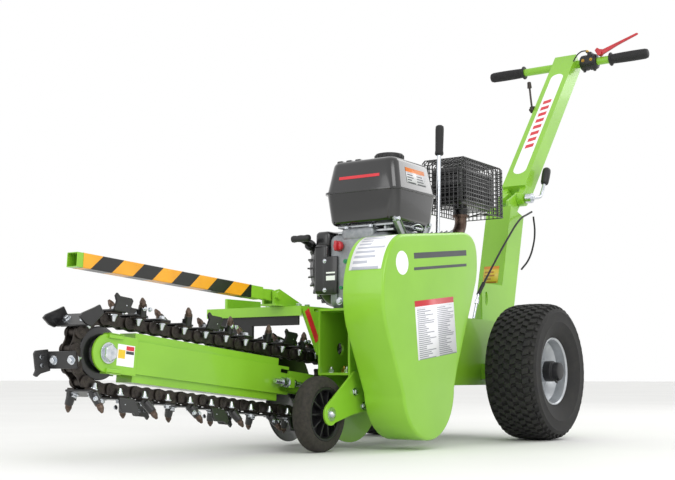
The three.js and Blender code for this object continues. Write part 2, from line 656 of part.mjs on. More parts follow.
function starterHandle() {
  const pull = new THREE.Vector3(38, 0, 12).normalize();
  const start = new THREE.Vector3(...ROPE_HOLE).addScaledVector(pull, GAP);
  const end = start.clone().addScaledVector(pull, 44);
  const stalk = rod(start.toArray(), end.toArray(), 8, 12);
  const bar = rod([end.x, end.y - 30, end.z], [end.x, end.y + 30, end.z], 10, 12);
  return join(stalk, bar);
}
part("starter_handle", starterHandle(), BLACK_PAINT);

// The switch is a knob with a wing, on the front face of the crankcase.
function engineSwitch() {
  const { x, y, z, r, depth, wing } = SWITCH;
  const knob = rod([x, y, z], [x + depth, y, z], r, 16);
  const fin = box(x + depth - 2, x + depth + 10, y - 3, y + 3, z - wing, z + wing);
  return join(knob, fin);
}
part("engine_switch", engineSwitch(), RED);

function fuelTank() {
  const { x0, x1, y0, y1, floor, seam, top, wall } = TANK;
  const lower = box(x0 + 6, x1 - 5, y0 + 4, y1 - 4, floor, seam);
  const flange = box(x0 - 5, x1 + 5, y0 - 5, y1 + 4, seam - 3, seam + 5);
  const upper = box(x0, x1, y0, y1, seam + 3, top);
  const filler = (from, to, radius, segments) => rod(
    [FILLER.x, FILLER.y, from], [FILLER.x, FILLER.y, to], radius, segments,
  );
  const inside = join(
    box(x0 + 6 + wall, x1 - 5 - wall, y0 + 4 + wall, y1 - 4 - wall, floor + wall, seam + 10),
    box(x0 + wall, x1 - wall, y0 + wall, y1 - wall, seam + 6, top - wall),
    filler(top - 10, FILLER.top + 7, FILLER.r - 5, 20),
  );
  return cut(join(lower, flange, upper, filler(top - 5, FILLER.top, FILLER.r, 24)), inside);
}
part("fuel_tank", fuelTank(), GLOSS_BLACK);

const capFoot = [FILLER.x, FILLER.y, FILLER.top + GAP];
const capTop = [FILLER.x, FILLER.y, FILLER.top + 18];
part("fuel_cap", rod(capFoot, capTop, FILLER.r + 6, 24), BLACK_PAINT);

function tankBracket() {
  const foot = CASE.top + GAP;
  const head = TANK.floor - GAP;
  const sheet = (z0, z1) => box(340, 500, -80, 90, z0, z1);
  const strut = (x, y) => box(x - 12, x + 12, y - 3, y + 3, foot, head);
  const struts = join(strut(360, 60), strut(480, 60), strut(420, -60));
  return join(sheet(foot, CASE.top + 6), sheet(TANK.floor - 6, head), struts);
}
part("tank_bracket", tankBracket(), CAST);

function airCleaner() {
  const lid = box(190, 296, -112, -52, 600, 722);
  const elbow = box(215, 290, -100, -60, 560, 604);
  return join(lid, elbow);
}
part("air_cleaner", airCleaner(), BLACK_PAINT);

function muffler() {
  const { x0, x1, y0, y1, z0, z1, wall } = MUFFLER;
  const outlet = (from, to, radius, segments) => rod(
    [OUTLET.x, OUTLET.y, from], [OUTLET.x, OUTLET.y, to], radius, segments,
  );
  const can = join(box(x0, x1, y0, y1, z0, z1), outlet(z0 - 24, z0 + 4, 22, 20));
  const inside = box(x0 + wall, x1 - wall, y0 + wall, y1 - wall, z0 + wall, z1 - wall);
  return cut(can, inside, outlet(z0 - 34, z0 + 6, 18, 16));
}
part("muffler", muffler(), BLACK_PAINT);
part("exhaust_pipe", cordAlong([
  [OUTLET.x, OUTLET.y, 638], [OUTLET.x + 1, OUTLET.y, 612], [50, OUTLET.y, 582],
  [97, OUTLET.y, 566.8], [118.8, OUTLET.y, 556.6],
], 18, 10), HOT_STEEL);

function mufflerGuard() {
  const { x0, x1, y0, y1, z0, z1, wall } = CAGE;
  const shell = box(x0, x1, y0, y1, z0, z1);
  const windows = [];
  for (let i = 0; i < 4; i += 1) {
    const x = x0 + 11 + i * 58;
    windows.push(box(x, x + 50, y0 - 15, y1 + 20, z0 + 12, z1 - 11));
    windows.push(box(x, x + 50, y0 + 11, y1 - 10, z0 + 56, z1 + 23));
  }
  for (let i = 0; i < 3; i += 1) {
    const y = y0 + 11 + i * 43;
    windows.push(box(x0 - 17, x1 + 13, y, y + 37, z0 + 12, z1 - 11));
  }
  return cut(shell, box(x0 + wall, x1 - wall, y0 + wall, y1 - wall, z0 - 14, z1 - wall), ...windows);
}
part("muffler_guard", mufflerGuard(), BLACK_PAINT);

// The tall lever stands between the tank and the muffler and engages the belt drive.
part("drive_lever", join(
  rod([LEVER.x, LEVER.y - 7, LEVER.z], [LEVER.x, LEVER.y + 7, LEVER.z], 13, 16),
  rod([LEVER.x, LEVER.y, LEVER.z], [LEVER.topX, LEVER.y, LEVER.topZ], 5.5, 12),
), ZINC);
const gripFoot = [LEVER.topX, LEVER.y, LEVER.topZ + 1.5];
const gripHead = [LEVER.topX - 5, LEVER.y, LEVER.topZ + 86];
part("drive_lever_grip", rod(gripFoot, gripHead, 12, 16), RUBBER);

// ---------------------------------------------------------------- hood, curtain and hazard bar
function chainHood() {
  const top = DECK_TOP + GAP;
  const sheet = join(
    box(530, 775, -292, -GAP, top, top + 4),
    box(430, 535, -292, -156, top, top + 4),
  );
  const lip = box(771, 775, -292, -GAP, 318, top + 4);
  const gusset = plate(outline([[690, top + 1], [772, top + 1], [704, 226], [690, 226]]), -5.6, -GAP);
  return join(sheet, lip, cut(gusset, box(600, 720, -10, 10, top - PLATE - 1, top - GAP)));
}
const hood = cut(chainHood(), box(600, DECK_FRONT + GAP, -20, 10, DECK_TOP - PLATE - GAP, DECK_TOP + GAP));
part("chain_hood", hood, GREEN);

part("spoil_curtain", join(
  box(CURTAIN_X, CURTAIN_X + 8.7, -288, -12, 296, 336),
  box(CURTAIN_X, CURTAIN_X + 8.7, -288, -150, 150, 300),
), RUBBER);

function hazardBar() {
  const lean = Math.atan2(BAR_TIP.z - BAR_PIVOT.z, BAR_TIP.x - BAR_PIVOT.x);
  const length = 590;
  const side = 30;
  const geometry = new THREE.BoxGeometry(length, side, side);
  geometry.translate(length / 2 + 50, 0, 0);
  geometry.rotateY(-lean);
  geometry.translate(BAR_PIVOT.x, BOOM_Y, BAR_PIVOT.z);
  const eyeShape = loop({ x: BAR_PIVOT.x, z: BAR_PIVOT.z, r: 14 }, { x: 856, z: 369, r: 13 });
  const eye = plate(eyeShape, BOOM_Y - 10, BOOM_Y + 10);
  return cut(join(solid(geometry), eye), acrossRod(BAR_PIVOT.x, BAR_PIVOT.z, -100, 0, 6 + GAP, 16));
}
part("hazard_bar", hazardBar(), HAZARD);

function barBracket() {
  const earShape = outline([[700, 342], [812, 342], [814, 376], [790, 382], [700, 350]]);
  const ear = (y) => plate(earShape, y, y + 5);
  const base = box(690, 812, BOOM_Y - 22, BOOM_Y + 22, DECK_TOP + 4 + 2 * GAP, DECK_TOP + 9);
  const pin = acrossRod(BAR_PIVOT.x, BAR_PIVOT.z, BOOM_Y - 22, BOOM_Y + 22, 6, 16);
  const head = acrossRod(BAR_PIVOT.x, BAR_PIVOT.z, BOOM_Y + 18, BOOM_Y + 26, 11, 6);
  return join(base, ear(BOOM_Y - 18), ear(BOOM_Y + 13), pin, head);
}
part("bar_bracket", barBracket(), GREEN);

// ---------------------------------------------------------------- handle
function handleColumn() {
  const length = (BAR_Z - HANDLE_PIVOT.z) / Math.cos(HANDLE_LEAN);
  const wall = 4;
  const shell = cut(
    leaningBox(HANDLE_PIVOT, HANDLE_LEAN, COLUMN_DEPTH, COLUMN_WIDTH, 34, length + 22),
    leaningBox(HANDLE_PIVOT, HANDLE_LEAN, COLUMN_DEPTH - 2 * wall, COLUMN_WIDTH - 2 * wall, 44, length + 30),
  );
  const half = COLUMN_WIDTH / 2;
  const neckSide = 40;
  const neck = (y0, y1) => {
    const geometry = new THREE.BoxGeometry(neckSide, y1 - y0, neckSide);
    geometry.translate(0, (y0 + y1) / 2, neckSide / 2);
    geometry.rotateY(-HANDLE_LEAN);
    geometry.translate(HANDLE_PIVOT.x, 0, HANDLE_PIVOT.z);
    return solid(geometry);
  };
  const near = 20 + 2 * GAP;
  const pivots = join(
    acrossRod(HANDLE_PIVOT.x, HANDLE_PIVOT.z, near, half, 24, 24), neck(near, half),
    acrossRod(HANDLE_PIVOT.x, HANDLE_PIVOT.z, -half, -near, 24, 24), neck(-half, -near),
  );
  return cut(
    join(shell, pivots),
    acrossRod(HANDLE_PIVOT.x, HANDLE_PIVOT.z, -60, 60, 10 + GAP),
    acrossRod(BAR_X, BAR_Z, -60, 60, BAR_R + GAP),
  );
}
part("handle_column", handleColumn(), GREEN);
part("handlebar", acrossRod(BAR_X, BAR_Z, -BAR_HALF + 6, BAR_HALF - 6, BAR_R, 20), GREEN);

const GRIP_START = 165;
const gripProfile = (side) => closed([
  [BAR_R + GAP, GRIP_START], [24, GRIP_START], [24, GRIP_START + 5], [18, GRIP_START + 9],
  [18, BAR_HALF - 6], [14, BAR_HALF], [1, BAR_HALF], [1, BAR_HALF - 5], [BAR_R + GAP, BAR_HALF - 5],
].map(([radius, along]) => [radius, side * along]));
part("left_grip", turned(gripProfile(1), BAR_X, 0, BAR_Z, 16), RUBBER);
part("right_grip", turned(gripProfile(-1), BAR_X, 0, BAR_Z, 16), RUBBER);

function controlHousing() {
  const profile = closed([
    [BAR_R + GAP, 58], [26, 58], [28, 64], [28, 112], [24, 118], [BAR_R + GAP, 118],
  ]);
  const block = box(BAR_X - 8, BAR_X + 30, 88, 104, BAR_Z + 12, BAR_Z + 34);
  const bore = acrossRod(BAR_X, BAR_Z, 50, 130, BAR_R + GAP, 20);
  return join(turned(profile, BAR_X, 0, BAR_Z, 20), cut(block, bore));
}
part("control_housing", controlHousing(), BLACK_PAINT);

function clutchLever() {
  const hub = rod([CLUTCH.x - 12, CLUTCH.y, CLUTCH.z], [CLUTCH.x + 12, CLUTCH.y, CLUTCH.z], 9, 16);
  const arm = rod([CLUTCH.x, CLUTCH.y, CLUTCH.z], [CLUTCH.x, 270, BAR_Z + 72], 6, 12);
  const nose = rod([CLUTCH.x, CLUTCH.y, CLUTCH.z], [CLUTCH.x, 112, CLUTCH.z + 20], 5, 12);
  return join(hub, arm, nose);
}
part("clutch_lever", clutchLever(), RED);

part("throttle_lever", join(
  acrossRod(THROTTLE.x, THROTTLE.z, THROTTLE.y - 14, THROTTLE.y - GAP, 12, 16),
  rod(
    [THROTTLE.x, THROTTLE.y - 9, THROTTLE.z],
    [THROTTLE.x + 8, THROTTLE.y - 14, THROTTLE.z + 84], 3.5, 10,
  ),
  rod(
    [THROTTLE.x + 7.5, THROTTLE.y - 14, THROTTLE.z + 78],
    [THROTTLE.x + 9, THROTTLE.y - 15, THROTTLE.z + 98], 9, 14,
  ),
), STEEL);

part("clamp_lever", join(
  acrossRod(HANDLE_PIVOT.x, HANDLE_PIVOT.z, 46 + GAP, CLAMP_Y + 8, 16, 18),
  rod([HANDLE_PIVOT.x, CLAMP_Y, HANDLE_PIVOT.z], CLAMP_BEND, 5.5, 12),
  rod(CLAMP_BEND, [-486, 70, 800], 5.5, 12),
), ZINC);
part("clamp_lever_knob", rod([-487, 70, 802], [-512, 70, 858], 14, 18), BLACK_PAINT);

// ---------------------------------------------------------------- control cables
part("clutch_cable", join(
  cordAlong([
    [-424, 52, 704], [-380, 56, 690], [-320, 60, 668], [-215, 62, 590], [-110, 64, 500], [-45, 62, 436],
  ], 3, 24),
  rod([-48, 62, 439], [-20, 62, 412], 6, 12),
  rod([-20, 62, 412], [8, 60, DECK_TOP + 3], 4, 12),
), ZINC);
part("brake_cable", cordAlong([
  [-436, 52, 690], [-440, 54, 640], [-424, 54, 590], [-392, 52, 545], [-352, 46, 512],
], 3, 16), RUBBER);

// ---------------------------------------------------------------- origin
const extent = new THREE.Box3().setFromObject(machine);
const middle = extent.getCenter(new THREE.Vector3());
machine.position.set(-middle.x, -middle.y, -extent.min.z);

export default machine;
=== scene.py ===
# %% [markdown]
# A walk-behind trencher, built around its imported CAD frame.
# The frame says where the nodes are and what moves. This script makes how it looks: welded and painted sheet
# metal, rubber, cast alloy, plated bolts and an oiled digging chain. Every piece rides on a body of the frame.
# Many sizes and places below repeat the frame's own as typed millimetres, so a change there is repeated here.

# %% Load the frame
import json
import math

import bmesh
import bpy
from mathutils import Matrix, Vector

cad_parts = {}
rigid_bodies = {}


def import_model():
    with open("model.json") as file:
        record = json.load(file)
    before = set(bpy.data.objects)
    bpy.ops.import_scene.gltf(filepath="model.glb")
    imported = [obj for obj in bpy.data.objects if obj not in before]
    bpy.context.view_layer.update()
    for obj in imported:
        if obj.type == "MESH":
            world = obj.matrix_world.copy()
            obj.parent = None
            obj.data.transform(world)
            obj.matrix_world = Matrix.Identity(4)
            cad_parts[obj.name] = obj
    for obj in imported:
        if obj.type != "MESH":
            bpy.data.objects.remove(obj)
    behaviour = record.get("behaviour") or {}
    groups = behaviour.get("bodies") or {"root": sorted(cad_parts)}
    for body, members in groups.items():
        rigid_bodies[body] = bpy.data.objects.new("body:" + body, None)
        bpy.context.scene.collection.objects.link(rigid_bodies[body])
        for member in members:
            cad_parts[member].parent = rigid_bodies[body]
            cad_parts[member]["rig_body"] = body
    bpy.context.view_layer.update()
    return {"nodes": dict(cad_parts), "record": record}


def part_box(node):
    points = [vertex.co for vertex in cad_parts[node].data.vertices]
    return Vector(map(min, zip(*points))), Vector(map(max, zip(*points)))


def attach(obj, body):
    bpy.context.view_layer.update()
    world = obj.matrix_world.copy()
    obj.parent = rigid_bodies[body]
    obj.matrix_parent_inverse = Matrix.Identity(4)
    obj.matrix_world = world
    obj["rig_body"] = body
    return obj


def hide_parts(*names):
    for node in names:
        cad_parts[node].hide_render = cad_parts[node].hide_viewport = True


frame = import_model()

# %% [markdown]
# The machine is drawn in millimetres, counted from the ground under the rear axle. One matrix turns that into the
# frame's metres, and a second one does the same for pieces drawn along the boom, which climbs 5.3 degrees.

# %% Places
axle_low, axle_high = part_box("rear_axle")
ROOT = Matrix.Translation(((axle_low.x + axle_high.x) / 2, 0, 0)) @ Matrix.Scale(0.001, 4)
MM = ROOT.inverted()
joint_rows = {row["name"]: row for row in frame["record"]["behaviour"]["joints"]}


def joint_mm(name):
    """Where a joint's axis passes, in the machine's millimetres."""
    return MM @ Vector(joint_rows[name]["pos_m"])


def box_mm(name):
    """A CAD node's lowest and highest corners, in the machine's millimetres."""
    low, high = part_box(name)
    return MM @ low, MM @ high


def share_of(name, along, across, up):
    """A point at these shares of a CAD node's box, from 0 at its low corner to 1 at its high one."""
    low, high = box_mm(name)
    return Vector([a + (b - a) * s for a, b, s in zip(low, high, (along, across, up))])


SHAFT = joint_mm("drive_spin")
BOOM_Y = joint_mm("boom_lift").y
slide = Vector(joint_rows["chain_tension"]["axis"])
BOOM_ANGLE = math.atan2(slide.z, slide.x)
BOOM = ROOT @ Matrix.Translation((SHAFT.x, BOOM_Y, SHAFT.z)) @ Matrix.Rotation(-BOOM_ANGLE, 4, "Y")
AXLE_Z = joint_mm("left_wheel_spin").z
WHEEL_Y = joint_mm("left_wheel_spin").y
Z_TO_Y = Matrix.Rotation(-math.pi / 2, 4, "X")
Z_TO_X = Matrix.Rotation(math.pi / 2, 4, "Y")
print("axle at x", round(ROOT.translation.x, 4), "boom angle", round(math.degrees(BOOM_ANGLE), 2))

# %% [markdown]
# The camera stands low in front of the belt side and looks slightly up, with a short telephoto lens.
# A wide white sky and three large soft lights act as a studio, so that paint shows broad highlights.

# %% Camera, floor and light
def aim(holder, target):
    holder.rotation_euler = (Vector(target) - holder.location).to_track_quat("-Z", "Y").to_euler()


def studio_light(name, place, target, width, power):
    data = bpy.data.lights.new(name, "AREA")
    data.size = width
    data.energy = power
    lamp = bpy.data.objects.new(name, data)
    bpy.context.scene.collection.objects.link(lamp)
    lamp.location = place
    aim(lamp, target)


CAMERA_PLACE = ROOT @ Vector((2999, 1613, 173))
YAW = math.radians(34.14)
PITCH = math.radians(6.37)
look = Vector((-math.cos(YAW) * math.cos(PITCH), -math.sin(YAW) * math.cos(PITCH), math.sin(PITCH)))
camera_data = bpy.data.cameras.new("camera")
camera_data.lens = 61.67
camera_data.shift_y = 0.0115
camera = bpy.data.objects.new("camera", camera_data)
bpy.context.scene.collection.objects.link(camera)
camera.location = CAMERA_PLACE
aim(camera, CAMERA_PLACE + look)
bpy.context.scene.camera = camera

studio_light("key_light", (2.6, 3.4, 2.8), (0.1, 0.2, 0.4), 2.6, 60)
studio_light("front_light", (3.8, -0.6, 1.6), (0.5, 0, 0.3), 2.2, 22)
studio_light("rear_light", (-2.8, 1.2, 2.6), (-0.4, 0, 0.6), 2.0, 26)

sky = bpy.data.worlds.new("studio")
sky.use_nodes = True
sky.node_tree.nodes["Background"].inputs["Color"].default_value = (1, 1, 1, 1)
sky.node_tree.nodes["Background"].inputs["Strength"].default_value = 1.0
bpy.context.scene.world = sky
bpy.context.scene.view_settings.view_transform = "Standard"

# %% [markdown]
# A finish is a small tree of nodes. One helper adds a node with its settings and its links, and every material
# below is a few calls of it. Colours are written as hex values, as a paint maker gives them.

# %% Material helpers
def colour(hex_value):
    """An sRGB hex value as linear red, green, blue and alpha."""
    shares = [int(hex_value[i:i + 2], 16) / 255 for i in (1, 3, 5)]
    linear = [s / 12.92 if s <= 0.04045 else ((s + 0.055) / 1.055) ** 2.4 for s in shares]
    return (*linear, 1)


def node(tree, kind, settings=(), links=()):
    """Adds a node. A setting's key is a property of the node or one of its sockets, by name or number."""
    made = tree.nodes.new(kind)
    for key, value in dict(settings).items():
        if isinstance(key, str) and hasattr(made, key):
            setattr(made, key, value)
        else:
            made.inputs[key].default_value = value
    for key, source in dict(links).items():
        tree.links.new(source, made.inputs[key])
    return made


def grain(size_mm):
    """The scale of a noise on Object coordinates whose lumps are about this wide."""
    return 1000 / size_mm


def finish(name, tones, lump_mm, rough, metal=0.0, coat=0.0, bump_mm=0.0, bump_size=2.0, detail=4.0):
    """A surface whose colour drifts between tones and whose roughness drifts between two values."""
    made = bpy.data.materials.new(name)
    made.use_nodes = True
    tree = made.node_tree
    shader = tree.nodes["Principled BSDF"]
    shader.inputs["Metallic"].default_value = metal
    shader.inputs["Coat Weight"].default_value = coat
    shader.inputs["Coat Roughness"].default_value = 0.08
    place = node(tree, "ShaderNodeTexCoord").outputs["Object"]
    drift = node(tree, "ShaderNodeTexNoise", {"Scale": grain(lump_mm), "Detail": detail}, {"Vector": place})
    tint = node(tree, "ShaderNodeValToRGB", {}, {"Fac": drift.outputs["Fac"]})
    ramp = tint.color_ramp.elements
    ramp[0].position, ramp[1].position = 0.3, 0.7
    ramp[0].color, ramp[1].color = colour(tones[0]), colour(tones[1])
    tree.links.new(tint.outputs["Color"], shader.inputs["Base Color"])
    gloss = node(tree, "ShaderNodeMapRange", {"To Min": rough[0], "To Max": rough[1]},
                 {"Value": drift.outputs["Fac"]})
    tree.links.new(gloss.outputs["Result"], shader.inputs["Roughness"])
    if bump_mm:
        relief = node(tree, "ShaderNodeTexNoise", {"Scale": grain(bump_size), "Detail": 3.0}, {"Vector": place})
        bump = node(tree, "ShaderNodeBump", {"Strength": 0.6, "Distance": bump_mm / 1000},
                    {"Height": relief.outputs["Fac"]})
        tree.links.new(bump.outputs["Normal"], shader.inputs["Normal"])
    return made


# %% [markdown]
# Powder-coated steel: a baked polyester skin with a faint orange-peel relief about 3 mm wide and a clear gloss.
# The other finishes follow the same plan. A metal keeps the default index of refraction.

# %% Finishes
green_powder_coat = finish("green_powder_coat", ("#82bb2a", "#8bc532"), 160, (0.30, 0.38),
                           coat=0.35, bump_mm=0.10, bump_size=3)
turf_tyre_rubber = finish("turf_tyre_rubber", ("#1b1b1c", "#2a2927"), 25, (0.72, 0.9), bump_mm=0.25, bump_size=2)
solid_tyre_rubber = finish("solid_tyre_rubber", ("#25231f", "#3a3630"), 8, (0.8, 0.95), bump_mm=0.6, bump_size=5)
flap_rubber = finish("flap_rubber", ("#1a1a1b", "#232323"), 40, (0.55, 0.7), bump_mm=0.2, bump_size=3)
grip_rubber = finish("grip_rubber", ("#161617", "#202021"), 12, (0.6, 0.75), bump_mm=0.15, bump_size=2)
moulded_nylon = finish("moulded_nylon", ("#141415", "#1d1d1f"), 20, (0.42, 0.55), bump_mm=0.08, bump_size=1.5)
silver_wheel_paint = finish("silver_wheel_paint", ("#a9adb1", "#bfc2c5"), 30, (0.32, 0.42), metal=0.65)
zinc_plate = finish("zinc_plate", ("#c2c8cf", "#dfe2e6"), 10, (0.16, 0.3), metal=1.0, bump_mm=0.03, bump_size=1)
yellow_zinc_plate = finish("yellow_zinc_plate", ("#b08a3e", "#c9a45a"), 8, (0.22, 0.34), metal=1.0)
oiled_chain_steel = finish("oiled_chain_steel", ("#2c2826", "#4a443f"), 14, (0.30, 0.5), metal=0.75,
                           bump_mm=0.15, bump_size=2)
forged_pick_steel = finish("forged_pick_steel", ("#4a3d36", "#77665b"), 9, (0.34, 0.52), metal=0.8,
                           bump_mm=0.2, bump_size=2)
black_cutter_paint = finish("black_cutter_paint", ("#0f0f10", "#1b1b1c"), 24, (0.28, 0.42), coat=0.3,
                            bump_mm=0.12, bump_size=3)
black_enamel = finish("black_enamel", ("#101012", "#18181a"), 60, (0.25, 0.35), coat=0.4, bump_mm=0.05, bump_size=3)
gloss_tank_enamel = finish("gloss_tank_enamel", ("#0a0a0b", "#101012"), 120, (0.12, 0.18), coat=0.9)
cast_aluminium = finish("cast_aluminium", ("#83878b", "#9ea1a4"), 12, (0.42, 0.58), metal=0.85,
                        bump_mm=0.25, bump_size=2)
pressed_aluminium = finish("pressed_aluminium", ("#a4a8ab", "#bcbfc1"), 40, (0.3, 0.42), metal=0.9)
heat_tinted_steel = finish("heat_tinted_steel", ("#4b3a33", "#7a675c"), 18, (0.34, 0.5), metal=0.85)
red_enamel = finish("red_enamel", ("#b3101f", "#c41a28"), 20, (0.25, 0.35), coat=0.4)
brass = finish("brass", ("#a07c35", "#c29b4c"), 6, (0.25, 0.35), metal=1.0)
fan_green_enamel = finish("fan_green_enamel", ("#0f6b43", "#178a57"), 6, (0.3, 0.4))
drive_belt_rubber = finish("drive_belt_rubber", ("#1b1a19", "#292725"), 6, (0.6, 0.8))
print("finishes", len(bpy.data.materials))

# %% [markdown]
# The floor is a large pale sheet with a faint mottle. It isn't part of the machine.

# %% Floor
floor_finish = finish("pale_floor_paint", ("#e6e6e4", "#ececea"), 900, (0.6, 0.7))
floor_mesh = bpy.data.meshes.new("floor")
floor_bm = bmesh.new()
bmesh.ops.create_grid(floor_bm, x_segments=1, y_segments=1, size=40)
floor_bm.to_mesh(floor_mesh)
floor_bm.free()
floor = bpy.data.objects.new("floor", floor_mesh)
floor_mesh.materials.append(floor_finish)
bpy.context.scene.collection.objects.link(floor)

# %% [markdown]
# Every new piece starts as a bmesh, the mesh that code can edit. These helpers add a block, a bar or a turned
# shape to one, and piece() turns the bmesh into an object: in place, bevelled, riding on its body.

# %% Mesh helpers
def block(bm, x0, x1, y0, y1, z0, z1):
    made = bmesh.ops.create_cube(bm, size=1)["verts"]
    bmesh.ops.scale(bm, vec=(x1 - x0, y1 - y0, z1 - z0), verts=made)
    bmesh.ops.translate(bm, vec=((x0 + x1) / 2, (y0 + y1) / 2, (z0 + z1) / 2), verts=made)
    return made


def bar(bm, start, end, radius, sides=16, tip=None):
    """A round bar between two points, or a cone where tip is another radius."""
    line = Vector(end) - Vector(start)
    place = Matrix.Translation((Vector(start) + Vector(end)) / 2) @ line.to_track_quat("Z", "Y").to_matrix().to_4x4()
    top = radius if tip is None else tip
    return bmesh.ops.create_cone(bm, cap_ends=True, segments=sides, radius1=radius, radius2=top,
                                 depth=line.length, matrix=place)["verts"]


def absorb(bm, shape, place=Matrix.Identity(4)):
    """Adds a copy of another bmesh at a place."""
    mesh = bpy.data.meshes.new("part")
    shape.to_mesh(mesh)
    mesh.transform(place)
    bm.from_mesh(mesh)
    bpy.data.meshes.remove(mesh)


def turned(bm, profile, centre=(0, 0, 0), turn=Z_TO_Y, steps=48):
    """Spins a closed or axis-to-axis profile of (radius, height) and merges what meets."""
    shape = bmesh.new()
    points = [shape.verts.new((radius, 0, height)) for radius, height in profile]
    ends_on_axis = profile[0][0] == 0 and profile[-1][0] == 0
    pairs = list(zip(points, points[1:])) if ends_on_axis else list(zip(points, points[1:] + points[:1]))
    edges = [shape.edges.new(pair) for pair in pairs]
    bmesh.ops.spin(shape, geom=points + edges, cent=(0, 0, 0), axis=(0, 0, 1), angle=2 * math.pi,
                   steps=steps, use_merge=True)
    bmesh.ops.remove_doubles(shape, verts=shape.verts, dist=1e-4)
    bmesh.ops.recalc_face_normals(shape, faces=shape.faces)
    absorb(bm, shape, Matrix.Translation(centre) @ turn)
    shape.free()


def sheet_plate(bm, outline, y0, y1):
    """A flat plate in the XZ plane, from its outline to its thickness along Y."""
    face = bm.faces.new([bm.verts.new((x, y0, z)) for x, z in outline])
    grown = bmesh.ops.extrude_face_region(bm, geom=[face])["geom"]
    bmesh.ops.translate(bm, vec=(0, y1 - y0, 0), verts=[g for g in grown if isinstance(g, bmesh.types.BMVert)])
    return grown


def wire(bm, points, radius, sides=8, smooth=True, closed=False):
    """A round wire or cable through points."""
    data = bpy.data.curves.new("wire", "CURVE")
    data.dimensions = "3D"
    data.bevel_depth = radius
    data.bevel_resolution = max(0, sides // 4 - 1)
    data.use_fill_caps = True
    data.resolution_u = 6
    spline = data.splines.new("BEZIER" if smooth else "POLY")
    if smooth:
        spline.bezier_points.add(len(points) - 1)
        for knot, point in zip(spline.bezier_points, points):
            knot.co = point
            knot.handle_left_type = knot.handle_right_type = "AUTO"
    else:
        spline.points.add(len(points) - 1)
        for knot, point in zip(spline.points, points):
            knot.co = (*point, 1)
    spline.use_cyclic_u = closed
    holder = bpy.data.objects.new("wire", data)
    bpy.context.scene.collection.objects.link(holder)
    shaped = bpy.data.meshes.new_from_object(holder.evaluated_get(bpy.context.evaluated_depsgraph_get()))
    bm.from_mesh(shaped)
    bpy.data.objects.remove(holder)
    bpy.data.curves.remove(data)
    bpy.data.meshes.remove(shaped)


def piece(name, bm, material, body, stands_for=(), place=ROOT, bevel=0.0, steps=2, smooth=35, tidy=True):
    """Turns a bmesh, in millimetres, into a finished piece that rides on a body."""
    if tidy:
        bmesh.ops.recalc_face_normals(bm, faces=bm.faces)
    bmesh.ops.transform(bm, matrix=place, verts=bm.verts)
    mesh = bpy.data.meshes.new(name)
    bm.to_mesh(mesh)
    bm.free()
    mesh.polygons.foreach_set("use_smooth", [True] * len(mesh.polygons))
    mesh.set_sharp_from_angle(angle=math.radians(smooth))
    mesh.materials.append(material)
    made = bpy.data.objects.new(name, mesh)
    bpy.context.scene.collection.objects.link(made)
    if bevel:
        rounding = made.modifiers.new("rounding", "BEVEL")
        rounding.width = bevel / 1000
        rounding.segments = steps
        rounding.limit_method = "ANGLE"
        rounding.angle_limit = math.radians(smooth)
        rounding.harden_normals = True
    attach(made, body)
    if stands_for:
        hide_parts(*stands_for)
    return made


# %% [markdown]
# A plate that the CAD already gives its true shape only lacks soft edges. Its mesh is copied, its triangles are
# joined into the flat faces they came from, and a narrow bevel rounds the edges as a coat of paint does.


def softened(name, material, bevel=1.2, steps=2, smooth=28, finished="_finished"):
    cad_node = frame["nodes"][name]
    bm = bmesh.new()
    bm.from_mesh(cad_node.data)
    bmesh.ops.remove_doubles(bm, verts=bm.verts, dist=1e-5)
    bmesh.ops.dissolve_limit(bm, angle_limit=math.radians(1), verts=bm.verts, edges=bm.edges)
    return piece(name + finished, bm, material, cad_node["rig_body"], [name],
                 Matrix.Identity(4), bevel, steps, smooth, tidy=False)

# %% [markdown]
# Frame, posts, brackets and boom are cut and folded steel, all in the same green powder coat. Their CAD shapes
# are right, so each one only gets soft edges. Bearings and the cast pulleys are alloy, the belt is rubber.

# %% Painted sheet metal and plain turned parts
for name in ("main_frame", "rear_post", "front_wheel_arm", "boom_beam", "nose_fork", "cover_backplate",
             "chain_hood", "bar_bracket", "handle_column"):
    softened(name, green_powder_coat)
softened("rear_axle", green_powder_coat, smooth=35)
softened("drive_shaft", zinc_plate, bevel=0.8)
softened("idler_arm", zinc_plate, bevel=0.6)
for name in ("inner_bearing", "outer_bearing", "driven_pulley", "engine_pulley"):
    softened(name, cast_aluminium, bevel=0.8)
softened("idler_pulley", black_enamel, bevel=0.8)
softened("drive_belt", drive_belt_rubber, bevel=1.5)
softened("spoil_curtain", flap_rubber, bevel=2.0)

# %% [markdown]
# Bolts are everywhere on a machine like this: zinc-plated hexagon heads, nuts, washers and low round heads.
# One bolt is a washer, a hexagon with rounded corners and the end of its thread.

# %% Fasteners
def hex_bolt(bm, at, direction, across=13, height=6, washer=None, dome=False, thread=0):
    """A bolt head at a point, standing out along a direction."""
    out = Vector(direction).normalized()
    at = Vector(at)
    washer = washer or across
    bar(bm, at - out * 0.5, at + out * 1.4, washer * 0.72, 24)
    if dome:
        cap_height = across * 0.42
        steps = [(math.cos(a) * across * 0.5, math.sin(a) * cap_height)
                 for a in [math.radians(d) for d in range(0, 91, 15)]]
        profile = [(0, 0)] + steps[:-1] + [(0, cap_height)]
        turned(bm, profile, at + out * 1.2, out.to_track_quat("Z", "Y").to_matrix().to_4x4(), 20)
    else:
        bar(bm, at + out * 1.2, at + out * (1.2 + height * 0.82), across * 0.577, 6)
        bar(bm, at + out * (1.1 + height * 0.8), at + out * (1.2 + height), across * 0.577, 6, tip=across * 0.47)
    if thread:
        bar(bm, at + out * height, at + out * (height + thread), across * 0.29, 12)


